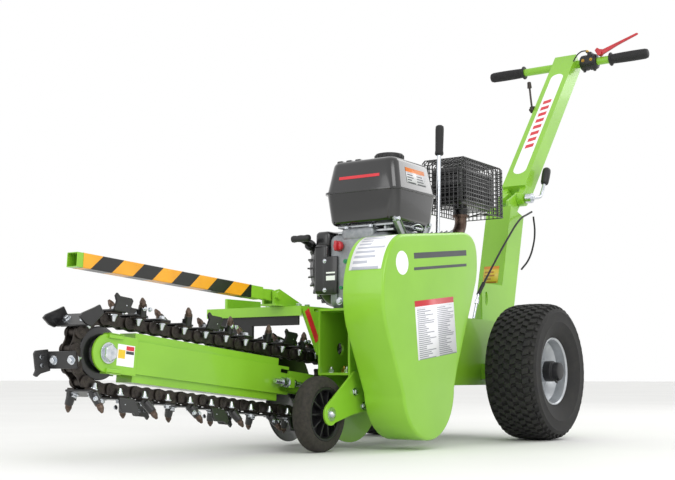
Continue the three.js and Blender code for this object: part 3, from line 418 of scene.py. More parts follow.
bolts = bmesh.new()
for x, z in ((741, 455), (770, 330), (715, 242), (648, 100)):
    hex_bolt(bolts, (x - 1, 180, z), (1, 0, -0.15), 12, 5, dome=True)
for x, z in ((652, 104), (652, 172), (690, 138)):
    hex_bolt(bolts, (x, 96.8, z), (0, 1, 0), 13, 6)
for x, y in ((676, 20), (676, 66), (612, 44)):
    hex_bolt(bolts, (x, y, 183), (0, 0, 1), 13, 8, thread=6)
for x in (350, 480):
    for y in (-82, 78):
        hex_bolt(bolts, (x, y, 349.6), (0, 0, 1), 15, 9, thread=8)
for x, y in ((716, -24), (752, -24), (716, -112), (752, -112), (560, -210), (600, -260)):
    hex_bolt(bolts, (x, y, 341), (0, 0, 1), 12, 6)
for x, z in ((SHAFT.x + 24, 160), (SHAFT.x - 24, 130)):
    hex_bolt(bolts, (x, 6.2, z), (0, 1, 0), 10, 5)
piece("chassis_bolts", bolts, zinc_plate, "chassis", bevel=0.3, steps=1)

yellow_bolts = bmesh.new()
hex_bolt(yellow_bolts, (640, 34, 183), (0, 0, 1), 15, 9, thread=7)
hex_bolt(yellow_bolts, (588, 68, 183), (0, 0, 1), 13, 8, thread=5)
piece("shelf_bolts", yellow_bolts, yellow_zinc_plate, "chassis", bevel=0.3, steps=1)

# %% [markdown]
# The belt cover is one deep pressed shell: a flat face whose edge rolls over into a straight wall.
# Its outline is drawn from arcs and curves, drawn out to depth, and its front edge is bevelled before the wall
# gets its thickness. Solidify then turns the skin into 3 mm sheet.

# %% Belt cover
LOBE_R = 123
COVER_BACK, COVER_FACE = 127, 233


def curve_through(start, bend, end, steps=8):
    """The points of a quadratic curve after its start."""
    start, bend, end = Vector(start), Vector(bend), Vector(end)
    shares = [i / steps for i in range(1, steps + 1)]
    return [tuple(start * (1 - t) ** 2 + bend * 2 * t * (1 - t) + end * t * t) for t in shares]


def cover_outline():
    points = [(768, 292)]
    points += curve_through((768, 292), (786, 345), (776, 403))
    points += curve_through((776, 403), (752, 498), (680, 507), 12)
    points.append((388, 541))
    points += curve_through((388, 541), (318, 545), (313, 486), 12)
    points += curve_through((313, 486), (309, 440), (324, 409))
    points.append((424, 200))
    for i in range(33):
        angle = math.pi + i * (math.pi - 0.1) / 32
        points.append((SHAFT.x + LOBE_R * math.cos(angle), SHAFT.z + LOBE_R * math.sin(angle)))
    return points


def belt_cover():
    bm = bmesh.new()
    sheet_plate(bm, cover_outline(), COVER_BACK, COVER_FACE)
    bmesh.ops.recalc_face_normals(bm, faces=bm.faces)
    rim = [e for e in bm.edges if all(v.co.y > COVER_FACE - 1 for v in e.verts)]
    bmesh.ops.bevel(bm, geom=rim, offset=7, offset_type="OFFSET", segments=4, profile=0.5, affect="EDGES",
                    material=-1)
    back = [f for f in bm.faces if all(v.co.y < COVER_BACK + 1 for v in f.verts)]
    bmesh.ops.delete(bm, geom=back, context="FACES")
    bmesh.ops.solidify(bm, geom=bm.faces[:], thickness=3)
    return bm


piece("belt_cover_shell", belt_cover(), green_powder_coat, "chassis", ["belt_cover"],
      smooth=25, tidy=False)
print("cover depth", COVER_FACE - COVER_BACK, "mm")

# %% [markdown]
# The rear tyres are turf tyres: a round-shouldered carcass with about 44 rows of shallow blocks, each row a zigzag
# across the crown that runs on over the shoulder. The carcass is a turned profile. One chamfered block is made
# and stamped round it, tilted left and right in turn so that the rows wave.

# %% Turf tyres
TREAD_ROWS = 46
TREAD_TOP = 188.2
BLOCKS = 4


def crown(offset):
    """The radius of the tread surface at a distance from the tyre's middle."""
    return TREAD_TOP - 1.8 * (offset / 40) ** 2 - 7 * max(0, (abs(offset) - 44) / 26) ** 2


def carcass_profile():
    outside = [(92, 52), (99, 60), (113, 67), (133, 73.5), (136, 75), (139, 74.2), (152, 75), (160, 74.4),
               (163, 75.2), (165.5, 74), (172, 71)]
    tread = [(crown(y) - 5.5, y) for y in (67, 60, 52, 40, 26, 12, 0)]
    half = outside + tread
    return half + [(r, -y) for r, y in reversed(half[:-1])]


def tread_block():
    bm = bmesh.new()
    block(bm, -9.6, 9.6, -8.2, 8.2, -4, 5.4)
    top = [v for v in bm.verts if v.co.z > 0]
    bmesh.ops.scale(bm, vec=(0.86, 0.84, 1), verts=top)
    for v in bm.verts:
        v.co.y += 0.28 * v.co.x
    return bm


def tyre(side):
    bm = bmesh.new()
    turned(bm, carcass_profile(), steps=96)
    stamp = tread_block()
    for row in range(TREAD_ROWS):
        for column in range(-BLOCKS + 1, BLOCKS):
            across = column * 16.8
            flip = 1 if column % 2 else -1
            around = (row + (0.5 if column % 2 else 0)) * 2 * math.pi / TREAD_ROWS
            slope = math.atan((crown(across + 4) - crown(across - 4)) / 8)
            local = (Matrix.Translation((0, across, 0)) @ Matrix.Rotation(slope, 4, "X")
                     @ Matrix.Rotation(math.pi / 2, 4, "Z") @ Matrix.Diagonal((1, flip, 1, 1)))
            lift = Matrix.Rotation(around, 4, "Y") @ Matrix.Translation((0, 0, crown(across) - 5.4))
            absorb(bm, stamp, lift @ local)
        for edge in (-1, 1):
            around = (row + 0.5) * 2 * math.pi / TREAD_ROWS
            lug = (Matrix.Rotation(around, 4, "Y") @ Matrix.Translation((0, edge * 66.5, crown(66) - 6.2))
                   @ Matrix.Rotation(-edge * 0.95, 4, "X") @ Matrix.Diagonal((0.62, 0.82, 0.62, 1)))
            absorb(bm, stamp, lug @ Matrix.Rotation(math.pi / 2, 4, "Z"))
    stamp.free()
    bmesh.ops.transform(bm, matrix=Matrix.Translation((0, side * WHEEL_Y, AXLE_Z)), verts=bm.verts)
    return bm


for side, name in ((1, "left"), (-1, "right")):
    made = piece(name + "_turf_tyre", tyre(side), turf_tyre_rubber, name + "_wheel",
                 [name + "_tyre"], smooth=30)
print("tyre", len(made.data.polygons), "faces")

# %% [markdown]
# The rims are pressed from two steel halves and painted silver. The disc steps inwards to a flat with a hub tube.
# A black plastic cap covers the axle's end, with a lynch pin through it.

# %% Rims and hub caps
def rim_profile():
    return [(16, -45), (27, -45), (27, 4), (40, 6), (58, -2), (70, -2), (76, 8), (82, 16), (84, 4), (84, -46),
            (88, -52), (91.8, -50), (91.8, -36), (89, -30), (89, 30), (91.8, 36), (91.8, 51), (93.5, 54),
            (91, 55.5), (86.5, 52), (85, 44), (84, 26), (80, 22), (72, 14), (66, 4), (58, 4), (42, 12),
            (30, 12), (27, 43), (16, 43)]


for side, name in ((1, "left"), (-1, "right")):
    rim = bmesh.new()
    turned(rim, [(r, side * h) for r, h in rim_profile()], (0, side * WHEEL_Y, AXLE_Z), steps=72)
    piece(name + "_wheel_rim", rim, silver_wheel_paint, name + "_wheel", [name + "_rim"],
          bevel=1.0, smooth=40)
    cap = bmesh.new()
    cap_profile = [(0, 20), (28, 20), (28.5, 52), (26.5, 53), (26, 56), (24.5, 57),
                   (24, 70), (22.5, 73.5), (18, 75), (0, 75)]
    turned(cap, [(r, side * h) for r, h in cap_profile[1:-1]] + [(0.01, side * 75), (0.01, side * 20)],
           (0, side * WHEEL_Y, AXLE_Z), steps=32)
    out = side * (WHEEL_Y + 66)
    wire(cap, [(-10, out, AXLE_Z - 22), (8, out, AXLE_Z - 27), (20, out + side * 4, AXLE_Z - 30),
               (26, out + side * 2, AXLE_Z - 25)], 3.2)
    piece(name + "_axle_cap", cap, moulded_nylon, name + "_wheel", [name + "_hub_cap"],
          bevel=0.5, smooth=40)

# %% [markdown]
# The support wheel is a cheap solid one: a black rubber tyre, finely pimpled, on a moulded rim with ten thin ribs.

# %% Front support wheel
FRONT = Vector((787, 62, 87.58))
FRONT_TREAD = 87.5


def front_tyre():
    bm = bmesh.new()
    half = [(61.8, 18), (64, 20.5), (74, 20), (80, 18.5), (84.5, 15), (FRONT_TREAD - 0.8, 10), (FRONT_TREAD, 0)]
    turned(bm, half + [(r, -y) for r, y in reversed(half[:-1])], FRONT, steps=80)
    return bm


def ribbed_rim():
    bm = bmesh.new()
    turned(bm, [(54, -18), (61.7, -19.5), (61.7, 19.5), (57, 19.5), (54, 16), (53, 2), (19, 2), (18, 23), (8.5, 23),
                (8.5, -23), (18, -23), (19, -2), (53, -2)], FRONT, steps=60)
    for i in range(10):
        turn = Matrix.Translation(FRONT) @ Matrix.Rotation(i * math.pi / 5, 4, "Y")
        rib = bmesh.new()
        block(rib, 16, 55, -15, 15, -1.5, 1.5)
        inner = [v for v in rib.verts if v.co.x < 20]
        bmesh.ops.scale(rib, vec=(1, 1.3, 1.5), verts=inner)
        absorb(bm, rib, turn)
        rib.free()
    return bm


piece("front_solid_tyre", front_tyre(), solid_tyre_rubber, "front_wheel", ["front_tyre"], smooth=40)
piece("front_ribbed_rim", ribbed_rim(), moulded_nylon, "front_wheel", ["front_rim"],
      bevel=0.8, smooth=35)
axle_bolt = bmesh.new()
bar(axle_bolt, (787, 30, FRONT.z), (787, 97, FRONT.z), 7.5, 20)
hex_bolt(axle_bolt, (787, 96.8, FRONT.z), (0, 1, 0), 17, 7, washer=22, dome=True)
hex_bolt(axle_bolt, (787, 38.5, FRONT.z), (0, -1, 0), 16, 7)
piece("front_wheel_bolt", axle_bolt, zinc_plate, "chassis", ["front_axle_bolt"], bevel=0.3, steps=1)

# %% [markdown]
# The digging chain is a heavy roller chain of 35 mm pitch. Its 58 pins lie on two straight runs and on two arcs
# of the pitch circle. From the pins come the rollers, the side plates and the tools bolted to every second link.

# %% Places of the pins and links
PITCH = 35
TEETH = 12
PIN_R = PITCH / (2 * math.sin(math.pi / TEETH))
RUN = 23
NOSE = RUN * PITCH


def chain_pins():
    step = 2 * math.pi / TEETH
    pins = [(i * PITCH, PIN_R) for i in range(RUN)]
    pins += [(NOSE + PIN_R * math.cos(math.pi / 2 - i * step), PIN_R * math.sin(math.pi / 2 - i * step))
             for i in range(TEETH // 2)]
    pins += [(NOSE - i * PITCH, -PIN_R) for i in range(RUN)]
    pins += [(PIN_R * math.cos(-math.pi / 2 - i * step), PIN_R * math.sin(-math.pi / 2 - i * step))
             for i in range(TEETH // 2)]
    return pins


def link_places():
    pins = chain_pins()
    places = []
    for (x0, z0), (x1, z1) in zip(pins, pins[1:] + pins[:1]):
        turn = Matrix.Rotation(math.atan2(z0 - z1, x1 - x0), 4, "Y")
        places.append(Matrix.Translation(((x0 + x1) / 2, 0, (z0 + z1) / 2)) @ turn)
    return places


PINS, LINKS = chain_pins(), link_places()
print("chain", len(PINS), "pins,", len(LINKS) * PITCH, "mm round")

# %% [markdown]
# A side plate is a waisted oval with a round end at each pin. Inner plates hold the rollers, outer plates hold the
# pins, and every outer plate carries a bent lug that the tools are bolted to.

# %% Links, rollers and pins
def side_plate(bm, y0, y1):
    outline = []
    for centre, start in ((PITCH / 2, -math.pi / 2), (-PITCH / 2, math.pi / 2)):
        for i in range(9):
            angle = start + i * math.pi / 8
            outline.append((centre + 12.6 * math.cos(angle), 12.6 * math.sin(angle)))
        outline.append((0, 9.6 if centre > 0 else -9.6))
    sheet_plate(bm, outline, y0, y1)


def chain_link(outer):
    bm = bmesh.new()
    for side in (-1, 1):
        near, far = (13.4, 17.4) if outer else (9.0, 13.0)
        side_plate(bm, *sorted((side * near, side * far)))
        if outer:
            block(bm, -14, 14, *sorted((side * 14, side * 34)), 11.5, 15.5)
    return bm


def chain_links():
    bm = bmesh.new()
    shapes = [chain_link(True), chain_link(False)]
    for index, place in enumerate(LINKS):
        absorb(bm, shapes[index % 2], place)
    for shape in shapes:
        shape.free()
    return bm


def rollers_and_pins():
    bm = bmesh.new()
    for x, z in PINS:
        bar(bm, (x, -8.8, z), (x, 8.8, z), 9.4, 20)
        bar(bm, (x, -18.0, z), (x, 18.0, z), 5.2, 12)
    return bm


piece("chain_side_plates", chain_links(), oiled_chain_steel, "boom", ["digging_chain"], BOOM,
      bevel=0.7, steps=1)
piece("chain_rollers", rollers_and_pins(), oiled_chain_steel, "boom", (), BOOM, bevel=0.6, steps=1)

# %% [markdown]
# Two tools alternate round the chain. One link has a pair of bullet picks: forged steel points in black holders that
# lean the way the chain digs. The next has a bent cup blade, to the left and to the right in turn. A longer
# angle blade stands on the nose. All of them are bolted down with plated bolts and cone nuts.

# %% Digging tools
def pick_holders(bm, place):
    shape = bmesh.new()
    block(shape, -17, 17, -35, 35, 15.8, 20)
    for side in (-1, 1):
        foot = Vector((-2, side * 30, 20))
        tip = Vector((9, side * 42, 37))
        bar(shape, foot, tip, 9.5, 16, tip=8.5)
        rib = block(shape, -14, 8, *sorted((side * 25, side * 34)), 19, 29)
        bmesh.ops.translate(shape, vec=(6, side * 3, 0), verts=[v for v in rib if v.co.z > 25])
    absorb(bm, shape, place)
    shape.free()


def picks(bm, place):
    shape = bmesh.new()
    for side in (-1, 1):
        start = Vector((9, side * 42, 37))
        out = Vector((0.50, side * 0.32, 0.80)).normalized()
        bar(shape, start - out, start + out * 2, 8.2, 16)
        bar(shape, start + out * 2, start + out * 9, 6.6, 16)
        bar(shape, start + out * 9, start + out * 18, 6.6, 16, tip=2.2)
    absorb(bm, shape, place)
    shape.free()


def cup_blade(bm, place, side):
    shape = bmesh.new()
    block(shape, -17, 17, *sorted((-side * 34, side * 42)), 15.8, 20)
    outline = [(-21, 17), (21, 17), (24, 34), (29, 44), (24, 51), (16, 45), (-17, 45), (-22, 40)]
    sheet_plate(shape, outline, *sorted((side * 40, side * 45.5)))
    upper = [v for v in shape.verts if v.co.z > 30]
    bmesh.ops.translate(shape, vec=(0, side * 9, 0), verts=upper)
    absorb(bm, shape, place)
    shape.free()


def nose_blade(bm, place):
    shape = bmesh.new()
    block(shape, -19, 19, -40, 60, 15.8, 20)
    outline = [(-20, 17), (22, 17), (30, 30), (34, 50), (24, 51), (-8, 40), (-22, 36)]
    sheet_plate(shape, outline, 55, 61)
    sheet_plate(shape, outline, -45, -39)
    absorb(bm, shape, place)
    shape.free()


def tool_bolts(bm, place, side):
    shape = bmesh.new()
    for y in (-24, 24):
        hex_bolt(shape, (0, y, 20), (0, 0, 1), 11, 6, washer=13)
        bar(shape, (0, y, 11.4), (0, y, 8.6), 9, 20)
        bar(shape, (0, y, 8.8), (0, y, -3), 7.4, 16, tip=3.2)
    for x in (-8, 8):
        hex_bolt(shape, (x, side * 45, 31), (0, side, 0.2), 7, 4)
    absorb(bm, shape, place)
    shape.free()


cutters, points, tool_hardware = bmesh.new(), bmesh.new(), bmesh.new()
NOSE_LINK = RUN + 1
for order, index in enumerate(range(0, len(LINKS), 2)):
    blade_side = 1 if (order // 2) % 2 else -1
    if index == NOSE_LINK:
        nose_blade(cutters, LINKS[index])
    elif order % 2:
        cup_blade(cutters, LINKS[index], blade_side)
    else:
        pick_holders(cutters, LINKS[index])
        picks(points, LINKS[index])
    tool_bolts(tool_hardware, LINKS[index], blade_side)
made = [piece("chain_cutters", cutters, black_cutter_paint, "boom", (), BOOM, bevel=1.0, steps=1),
        piece("chain_picks", points, forged_pick_steel, "boom", (), BOOM, bevel=0.6, steps=1),
        piece("chain_bolts", tool_hardware, zinc_plate, "boom", (), BOOM, bevel=0.3, steps=1)]
print("tools", [len(o.data.polygons) for o in made], "faces")

# %% [markdown]
# The drive sprocket has twelve teeth that stand between the rollers, so it looks right at every quarter turn.
# The chain swings with the boom while the sprocket stays, so with the boom fully lowered the rollers run into its
# teeth. On the machine the chain would turn the sprocket.
# The nose roller is a smooth drum with two flanges that the inner side plates run on.

# %% Sprocket and nose roller
def drive_sprocket():
    bm = bmesh.new()
    outline = []
    for i in range(TEETH):
        middle = (i + 0.5) * 2 * math.pi / TEETH
        for radius, swing in ((57.5, -0.155), (60, -0.10), (65.5, -0.045), (66.5, 0), (65.5, 0.045), (60, 0.10),
                              (57.5, 0.155)):
            outline.append((radius * math.cos(middle + swing), radius * math.sin(middle + swing)))
    sheet_plate(bm, outline, -5.5, 5.5)
    turned(bm, [(14.3, -17), (25, -17), (27, -15), (27, 15), (25, 17), (14.3, 17)], steps=40)
    bmesh.ops.transform(bm, matrix=Matrix.Translation((SHAFT.x, BOOM_Y, SHAFT.z)), verts=bm.verts)
    return bm


piece("toothed_drive_sprocket", drive_sprocket(), oiled_chain_steel, "drive_line",
      ["drive_sprocket"], bevel=0.6, steps=1)
roller = bmesh.new()
turned(roller, [(12.5, -17.5), (28, -17.5), (30, -15), (30, -13.6), (50, -13.6), (53, -12), (53.4, -8.5), (52, -7),
                (52, 7), (53.4, 8.5), (53, 12), (50, 13.6), (30, 13.6), (30, 15), (28, 17.5), (12.5, 17.5)],
       (NOSE, 0, 0), steps=64)
piece("flanged_nose_roller", roller, black_enamel, "nose_wheel", ["nose_roller"], BOOM, bevel=0.6)

# %% [markdown]
# The nose is held by one large bolt through both cheeks, and four short angle pieces guide the chain onto it.
# The chain is tightened by a threaded stud with two lock nuts on the side of the beam.

# %% Nose bolt, chain guides and tension screw
CHEEK = 34.3
big_bolt = bmesh.new()
bar(big_bolt, (NOSE, -CHEEK - 12, 0), (NOSE, CHEEK + 2, 0), 11.8, 24)
for side in (-1, 1):
    bar(big_bolt, (NOSE, side * (CHEEK + 0.3), 0), (NOSE, side * (CHEEK + 3.4), 0), 21, 32)
    bar(big_bolt, (NOSE, side * (CHEEK + 3.2), 0), (NOSE, side * (CHEEK + 11), 0), 17.5, 6)
    bar(big_bolt, (NOSE, side * (CHEEK + 11), 0), (NOSE, side * (CHEEK + 13), 0), 17.5, 6, tip=14.5)
piece("nose_axle_bolt", big_bolt, zinc_plate, "nose", ["nose_bolt"], BOOM, bevel=0.5)

guides = bmesh.new()
for side in (-1, 1):
    for x0, x1, z in ((768, 808, 1), (768, 808, -1)):
        block(guides, x0, x1, *sorted((side * 33, side * 39)), *sorted((z * 30, z * 39)))
        block(guides, x0, x1, *sorted((side * 20, side * 39)), *sorted((z * 36.5, z * 40)))
piece("nose_chain_guides", guides, green_powder_coat, "nose", (), BOOM, bevel=0.8)


def threaded_stud(bm, start, length, radius):
    """A stud with shallow rings in place of a thread, which looks the same from a step away."""
    count = int(length / 2.2)
    profile = [(0, 0)]
    for i in range(count):
        profile += [(radius - 0.5, i * 2.2 + 0.2), (radius, i * 2.2 + 1.2)]
    profile += [(radius - 0.8, length), (0, length)]
    turned(bm, profile, start, Z_TO_X, 16)


stud = bmesh.new()
threaded_stud(stud, (150, 40, -6), 118, 6)
for x0 in (192, 223, 234):
    bar(stud, (x0, 40, -6), (x0 + 9, 40, -6), 10.8, 6)
for x0 in (203, 221.5):
    bar(stud, (x0, 40, -6), (x0 + 1.8, 40, -6), 12.5, 24)
piece("chain_tension_screw", stud, zinc_plate, "boom", ["tension_screw"], BOOM, bevel=0.3, steps=1)

# %% [markdown]
# The auger that clears the spoil is one turn of flat blade welded round a tube. Blender's spin operator can climb
# as it turns: a single cross-section of the blade is spun with a rise along the axis, which makes a true helix.

# %% Spoil auger
def auger():
    near, far = -148, -286
    blade_from, blade_to = near - 4, far + 8
    bm = bmesh.new()
    turned(bm, [(14.3, near), (28, near), (28, far), (14.3, far)], (0, 0, 0), steps=40)
    section = [bm.verts.new(p) for p in ((26, blade_from, 0), (136, blade_from, 0), (138, blade_from - 2.5, 0),
                                         (136, blade_from - 5, 0), (26, blade_from - 5, 0))]
    face = bm.faces.new(section)
    steps = 72
    bmesh.ops.spin(bm, geom=[face], cent=(0, 0, 0), axis=(0, 1, 0), angle=2 * math.pi, steps=steps,
                   dvec=(0, (blade_to - blade_from + 5) / steps, 0))
    bmesh.ops.transform(bm, matrix=Matrix.Translation((SHAFT.x, 0, SHAFT.z)), verts=bm.verts)
    return bm


piece("helical_spoil_auger", auger(), black_cutter_paint, "drive_line", ["spoil_auger"],
      bevel=0.8, steps=1)

# %% [markdown]
# A square tube stands over the chain as a guard bar, wrapped in slanted black and yellow tape. The tape pattern
# is worked out along the tube: a sawtooth of the distance along it, shifted by the height, gives slanted bands.

# %% Guard bar
BAR_PIVOT = Vector((800, BOOM_Y, 366))
BAR_LEAN = math.atan2(34, 637)
GUARD = ROOT @ Matrix.Translation(BAR_PIVOT) @ Matrix.Rotation(-BAR_LEAN, 4, "Y")
TUBE_START, TUBE_END = 50, 638
TUBE_HALF, TUBE_WALL = 14.6, 2.5
TAPE_FROM, TAPE_TO, TAPE_BANDS = 95, 622, 9
TAPE_HALF = 15
BAND_SLANT = 1.1


def warning_tape():
    made = finish("warning_tape", ("#e59c12", "#f2ab1c"), 60, (0.3, 0.42), coat=0.2)
    tree = made.node_tree
    shader = tree.nodes["Principled BSDF"]
    place = node(tree, "ShaderNodeTexCoord").outputs["Object"]
    tube_start = GUARD.to_3x3().normalized().inverted() @ GUARD.translation
    along = node(tree, "ShaderNodeMapping", {"Location": -tube_start, "Rotation": (0, BAR_LEAN, 0)},
                 {"Vector": place})
    parts = node(tree, "ShaderNodeSeparateXYZ", {}, {"Vector": along.outputs["Vector"]})
    slant = node(tree, "ShaderNodeMath", {"operation": "MULTIPLY_ADD", 1: BAND_SLANT},
                 {0: parts.outputs["Z"], 2: parts.outputs["X"]})
    band_pair = 2 * (TAPE_TO - TAPE_FROM) / TAPE_BANDS / 1000
    share = node(tree, "ShaderNodeMath", {"operation": "DIVIDE", 1: band_pair}, {0: slant.outputs[0]})
    saw = node(tree, "ShaderNodeMath", {"operation": "FRACT"}, {0: share.outputs[0]})
    dark = node(tree, "ShaderNodeMath", {"operation": "GREATER_THAN", 1: 0.5}, {0: saw.outputs[0]})
    yellow = tree.nodes["Color Ramp"].outputs["Color"]
    mix = node(tree, "ShaderNodeMix", {"data_type": "RGBA", 7: colour("#141414")}, {0: dark.outputs[0], 6: yellow})
    tree.links.new(mix.outputs[2], shader.inputs["Base Color"])
    return made


def square_tube(bm, x0, x1, half, wall):
    block(bm, x0, x1, -half, half, -half, half)
    end = [f for f in bm.faces if all(v.co.x > x1 - 0.5 for v in f.verts)]
    bmesh.ops.inset_region(bm, faces=end, thickness=wall)
    inner = [f for f in bm.faces if f.select
             or (all(v.co.x > x1 - 0.5 for v in f.verts) and all(abs(v.co.y) < half - wall / 2 for v in f.verts))]
    grown = bmesh.ops.extrude_face_region(bm, geom=inner)["geom"]
    bmesh.ops.delete(bm, geom=inner, context="FACES")
    bmesh.ops.translate(bm, vec=(-60, 0, 0), verts=[g for g in grown if isinstance(g, bmesh.types.BMVert)])


guard_tube = bmesh.new()
square_tube(guard_tube, TUBE_START, TUBE_END, TUBE_HALF, TUBE_WALL)
sheet_plate(guard_tube, [(-12, -8), (-12, 8), (-6, 13), (8, 14), (60, 11), (60, -11), (8, -14), (-6, -13)], -9, 9)
piece("guard_bar_tube", guard_tube, green_powder_coat, "guard_bar", ["hazard_bar"], GUARD, bevel=1.2)
tape = bmesh.new()
block(tape, TAPE_FROM, TAPE_TO, -TAPE_HALF, TAPE_HALF, -TAPE_HALF, TAPE_HALF)
ends = [f for f in tape.faces if abs(f.normal.x) > 0.5]
bmesh.ops.delete(tape, geom=ends, context="FACES")
piece("guard_bar_tape", tape, warning_tape(), "guard_bar", (), GUARD, bevel=1.4, tidy=True)

post = bmesh.new()
bar(post, (706, -150, 340), (706, -150, 372), 7, 20)
block(post, 560, 700, -296, -288, 326, 372)
piece("hood_post_and_edge", post, green_powder_coat, "chassis", bevel=0.8)

# %% [markdown]
# The engine is a single-cylinder petrol engine whose barrel leans back. Its casting is a block with generous
# corner radii, and the barrel and head are stacks of cooling fins, made by repeating one thin rounded plate.

# %% Engine casting
CRANK = joint_mm("engine_spin")
CRANK.y = 0
BARREL_FOOT = CRANK + Vector((-92, 0, -30))
BARREL = ROOT @ Matrix.Translation(BARREL_FOOT) @ Matrix.Rotation(math.radians(-65), 4, "Y")


def rounded_block(bm, x0, x1, y0, y1, z0, z1, radius, steps=4):
    """A block whose twelve edges are rounded, as on a casting."""
    shape = bmesh.new()
    block(shape, x0, x1, y0, y1, z0, z1)
    bmesh.ops.bevel(shape, geom=shape.edges[:], offset=radius, offset_type="OFFSET", segments=steps, profile=0.5,
                    affect="EDGES", material=-1)
    absorb(bm, shape)
    shape.free()


def crank_casting():
    bm = bmesh.new()
    rounded_block(bm, 306, 519, -99, 82, 348, 543, 20)
    for x in (326, 356, 386, 416, 446, 476, 506):
        block(bm, x - 2, x + 2, -90, 74, 346, 352)
    for y in (-70, -40, -10, 20, 50):
        rounded_block(bm, 512, 524, y - 3, y + 3, 366, 470, 2, 1)
    turned(bm, [(12.6, 78), (90, 78), (92, 81), (92, 89), (89, 92), (74, 92), (70, 88), (46, 88), (42, 94.5),
                (24, 94.5), (20, 90), (12.6, 90)], (CRANK.x, 0, CRANK.z), steps=64)
    for i in range(8):
        angle = i * math.pi / 4 + 0.3
        rib = Matrix.Translation((CRANK.x, 0, CRANK.z)) @ Matrix.Rotation(angle, 4, "Y")
        shape = bmesh.new()
        block(shape, 40, 74, 86, 91.5, -2, 2)
        absorb(bm, shape, rib)
        shape.free()
    for y0, y1 in ((-96, -66), (60, 94)):
        rounded_block(bm, 300, 526, y0, y1, 337.5, 349, 4, 2)
    rounded_block(bm, 470, 519, -60, 40, 520, 558, 12)
    return bm


def barrel_and_head():
    bm = bmesh.new()
    rounded_block(bm, -46, 46, -50, 50, -5, 192, 14)
    for i in range(12):
        rounded_block(bm, -59, 59, -64, 64, 22 + i * 13.5, 25.5 + i * 13.5, 1.2, 1)
    rounded_block(bm, -52, 52, -56, 56, 188, 226, 10)
    for i in range(9):
        y = -64 + i * 16
        rounded_block(bm, -64, 64, y - 1.7, y + 1.7, 192, 230, 1.2, 1)
    return bm


piece("engine_crankcase", crank_casting(), cast_aluminium, "chassis", ["crankcase"], bevel=0.8,
      steps=1, smooth=30)
piece("finned_barrel_and_head", barrel_and_head(), cast_aluminium, "chassis", (), BARREL, smooth=30)

case_bolts = bmesh.new()
for i in range(8):
    angle = i * math.pi / 4 + 0.69
    hex_bolt(case_bolts, (CRANK.x + 82 * math.cos(angle), 92, CRANK.z - 82 * math.sin(angle)), (0, 1, 0), 10, 5)
hex_bolt(case_bolts, (519, 34, 368), (1, 0, 0), 17, 6)
hex_bolt(case_bolts, (519, -62, 368), (1, 0, 0), 14, 5)
for x, y in ((482, -48), (482, 28), (507, -48), (507, 28)):
    hex_bolt(case_bolts, (x, y, 557), (0, 0, 1), 10, 6)
piece("engine_case_bolts", case_bolts, zinc_plate, "chassis", bevel=0.3, steps=1)

shroud = bmesh.new()
rounded_block(shroud, 60, 67, -68, 68, 8, 186, 3, 2)
rounded_block(shroud, -30, 67, 66, 71, 8, 186, 2.4, 2)
rounded_block(shroud, -38, 38, -44, 44, 228, 258, 12)
for y in (-30, 0, 30):
    rounded_block(shroud, -26, 26, y - 3, y + 3, 254, 261, 2, 2)
piece("barrel_shroud_and_rocker_cover", shroud, pressed_aluminium, "chassis", (), BARREL, smooth=30)

plug = bmesh.new()
bar(plug, (40, -30, 218), (86, -44, 236), 10, 18, tip=8)
bar(plug, (84, -43.5, 235), (98, -46, 228), 8, 18)
wire(plug, [(96, -46, 229), (110, -60, 200), (104, -92, 140), (60, -112, 60), (0, -118, 20)], 3.4, 12)
piece("spark_plug_boot_and_lead", plug, grip_rubber, "chassis", (), BARREL, smooth=40)

# %% [markdown]
# The fan housing and the recoil starter are black pressed steel. The starter's bowl has a ring of raised louvres
# and a central disc. The pull handle sits in a rope eye on its rim, and slides out on its own joint.

# %% Fan housing, recoil starter and pull handle
def fan_housing():
    bm = bmesh.new()
    turned(bm, [(94, -100.5), (104, -100.5), (104, -138), (100, -147),
                (92, -150), (86, -150), (86, -146), (94, -140)],
           (CRANK.x, 0, CRANK.z), steps=72)
    rounded_block(bm, CRANK.x - 62, CRANK.x + 98, -148, -101, 508, 556, 12)
    rounded_block(bm, CRANK.x + 62, 519.5, -146, -101, 388, 520, 10)
    rounded_block(bm, 519, 525.5, -112, -66, 386, 486, 3, 2)
    return bm


def recoil_bowl():
    bm = bmesh.new()
    turned(bm, [(0.01, -185), (58, -183), (84, -166), (91, -150.4), (98, -150.4), (99, -153), (95, -156), (88, -170),
                (64, -186.5), (36, -188), (34, -190), (0.01, -190)], (CRANK.x, 0, CRANK.z), steps=72)
    for i in range(24):
        turn = Matrix.Translation((CRANK.x, 0, CRANK.z)) @ Matrix.Rotation(i * math.pi / 12, 4, "Y")
        louvre = bmesh.new()
        rounded_block(louvre, 40, 62, -188.8, -183, -1.8, 1.8, 0.9, 2)
        rib = block(louvre, 66, 92, -176, -160, -2, 2)
        bmesh.ops.translate(louvre, vec=(0, -9, 0), verts=[v for v in rib if v.co.x < 70])
        absorb(bm, louvre, turn)
        louvre.free()
    bar(bm, (466, -168, 510.7), (507.6, -168, 523.9), 13.5, 28)
    bar(bm, (500, -168, 521.5), (507.8, -168, 523.95), 15, 28, tip=14)
    return bm


def pull_handle():
    pull = Vector((38, 0, 12)).normalized()
    start = Vector((508, -168, 524)) + pull * 0.3
    end = start + pull * 38
    bm = bmesh.new()
    bar(bm, start, end, 6.5, 16, tip=8.5)
    shape = bmesh.new()
    turned(shape, [(0, -30), (5, -29.5), (8.5, -27), (9.6, -22), (8.4, -12), (9.6, 0),
                   (8.4, 12), (9.6, 22), (8.5, 27),
                   (5, 29.5), (0, 30)], end, steps=28)
    absorb(bm, shape)
    shape.free()
    return bm


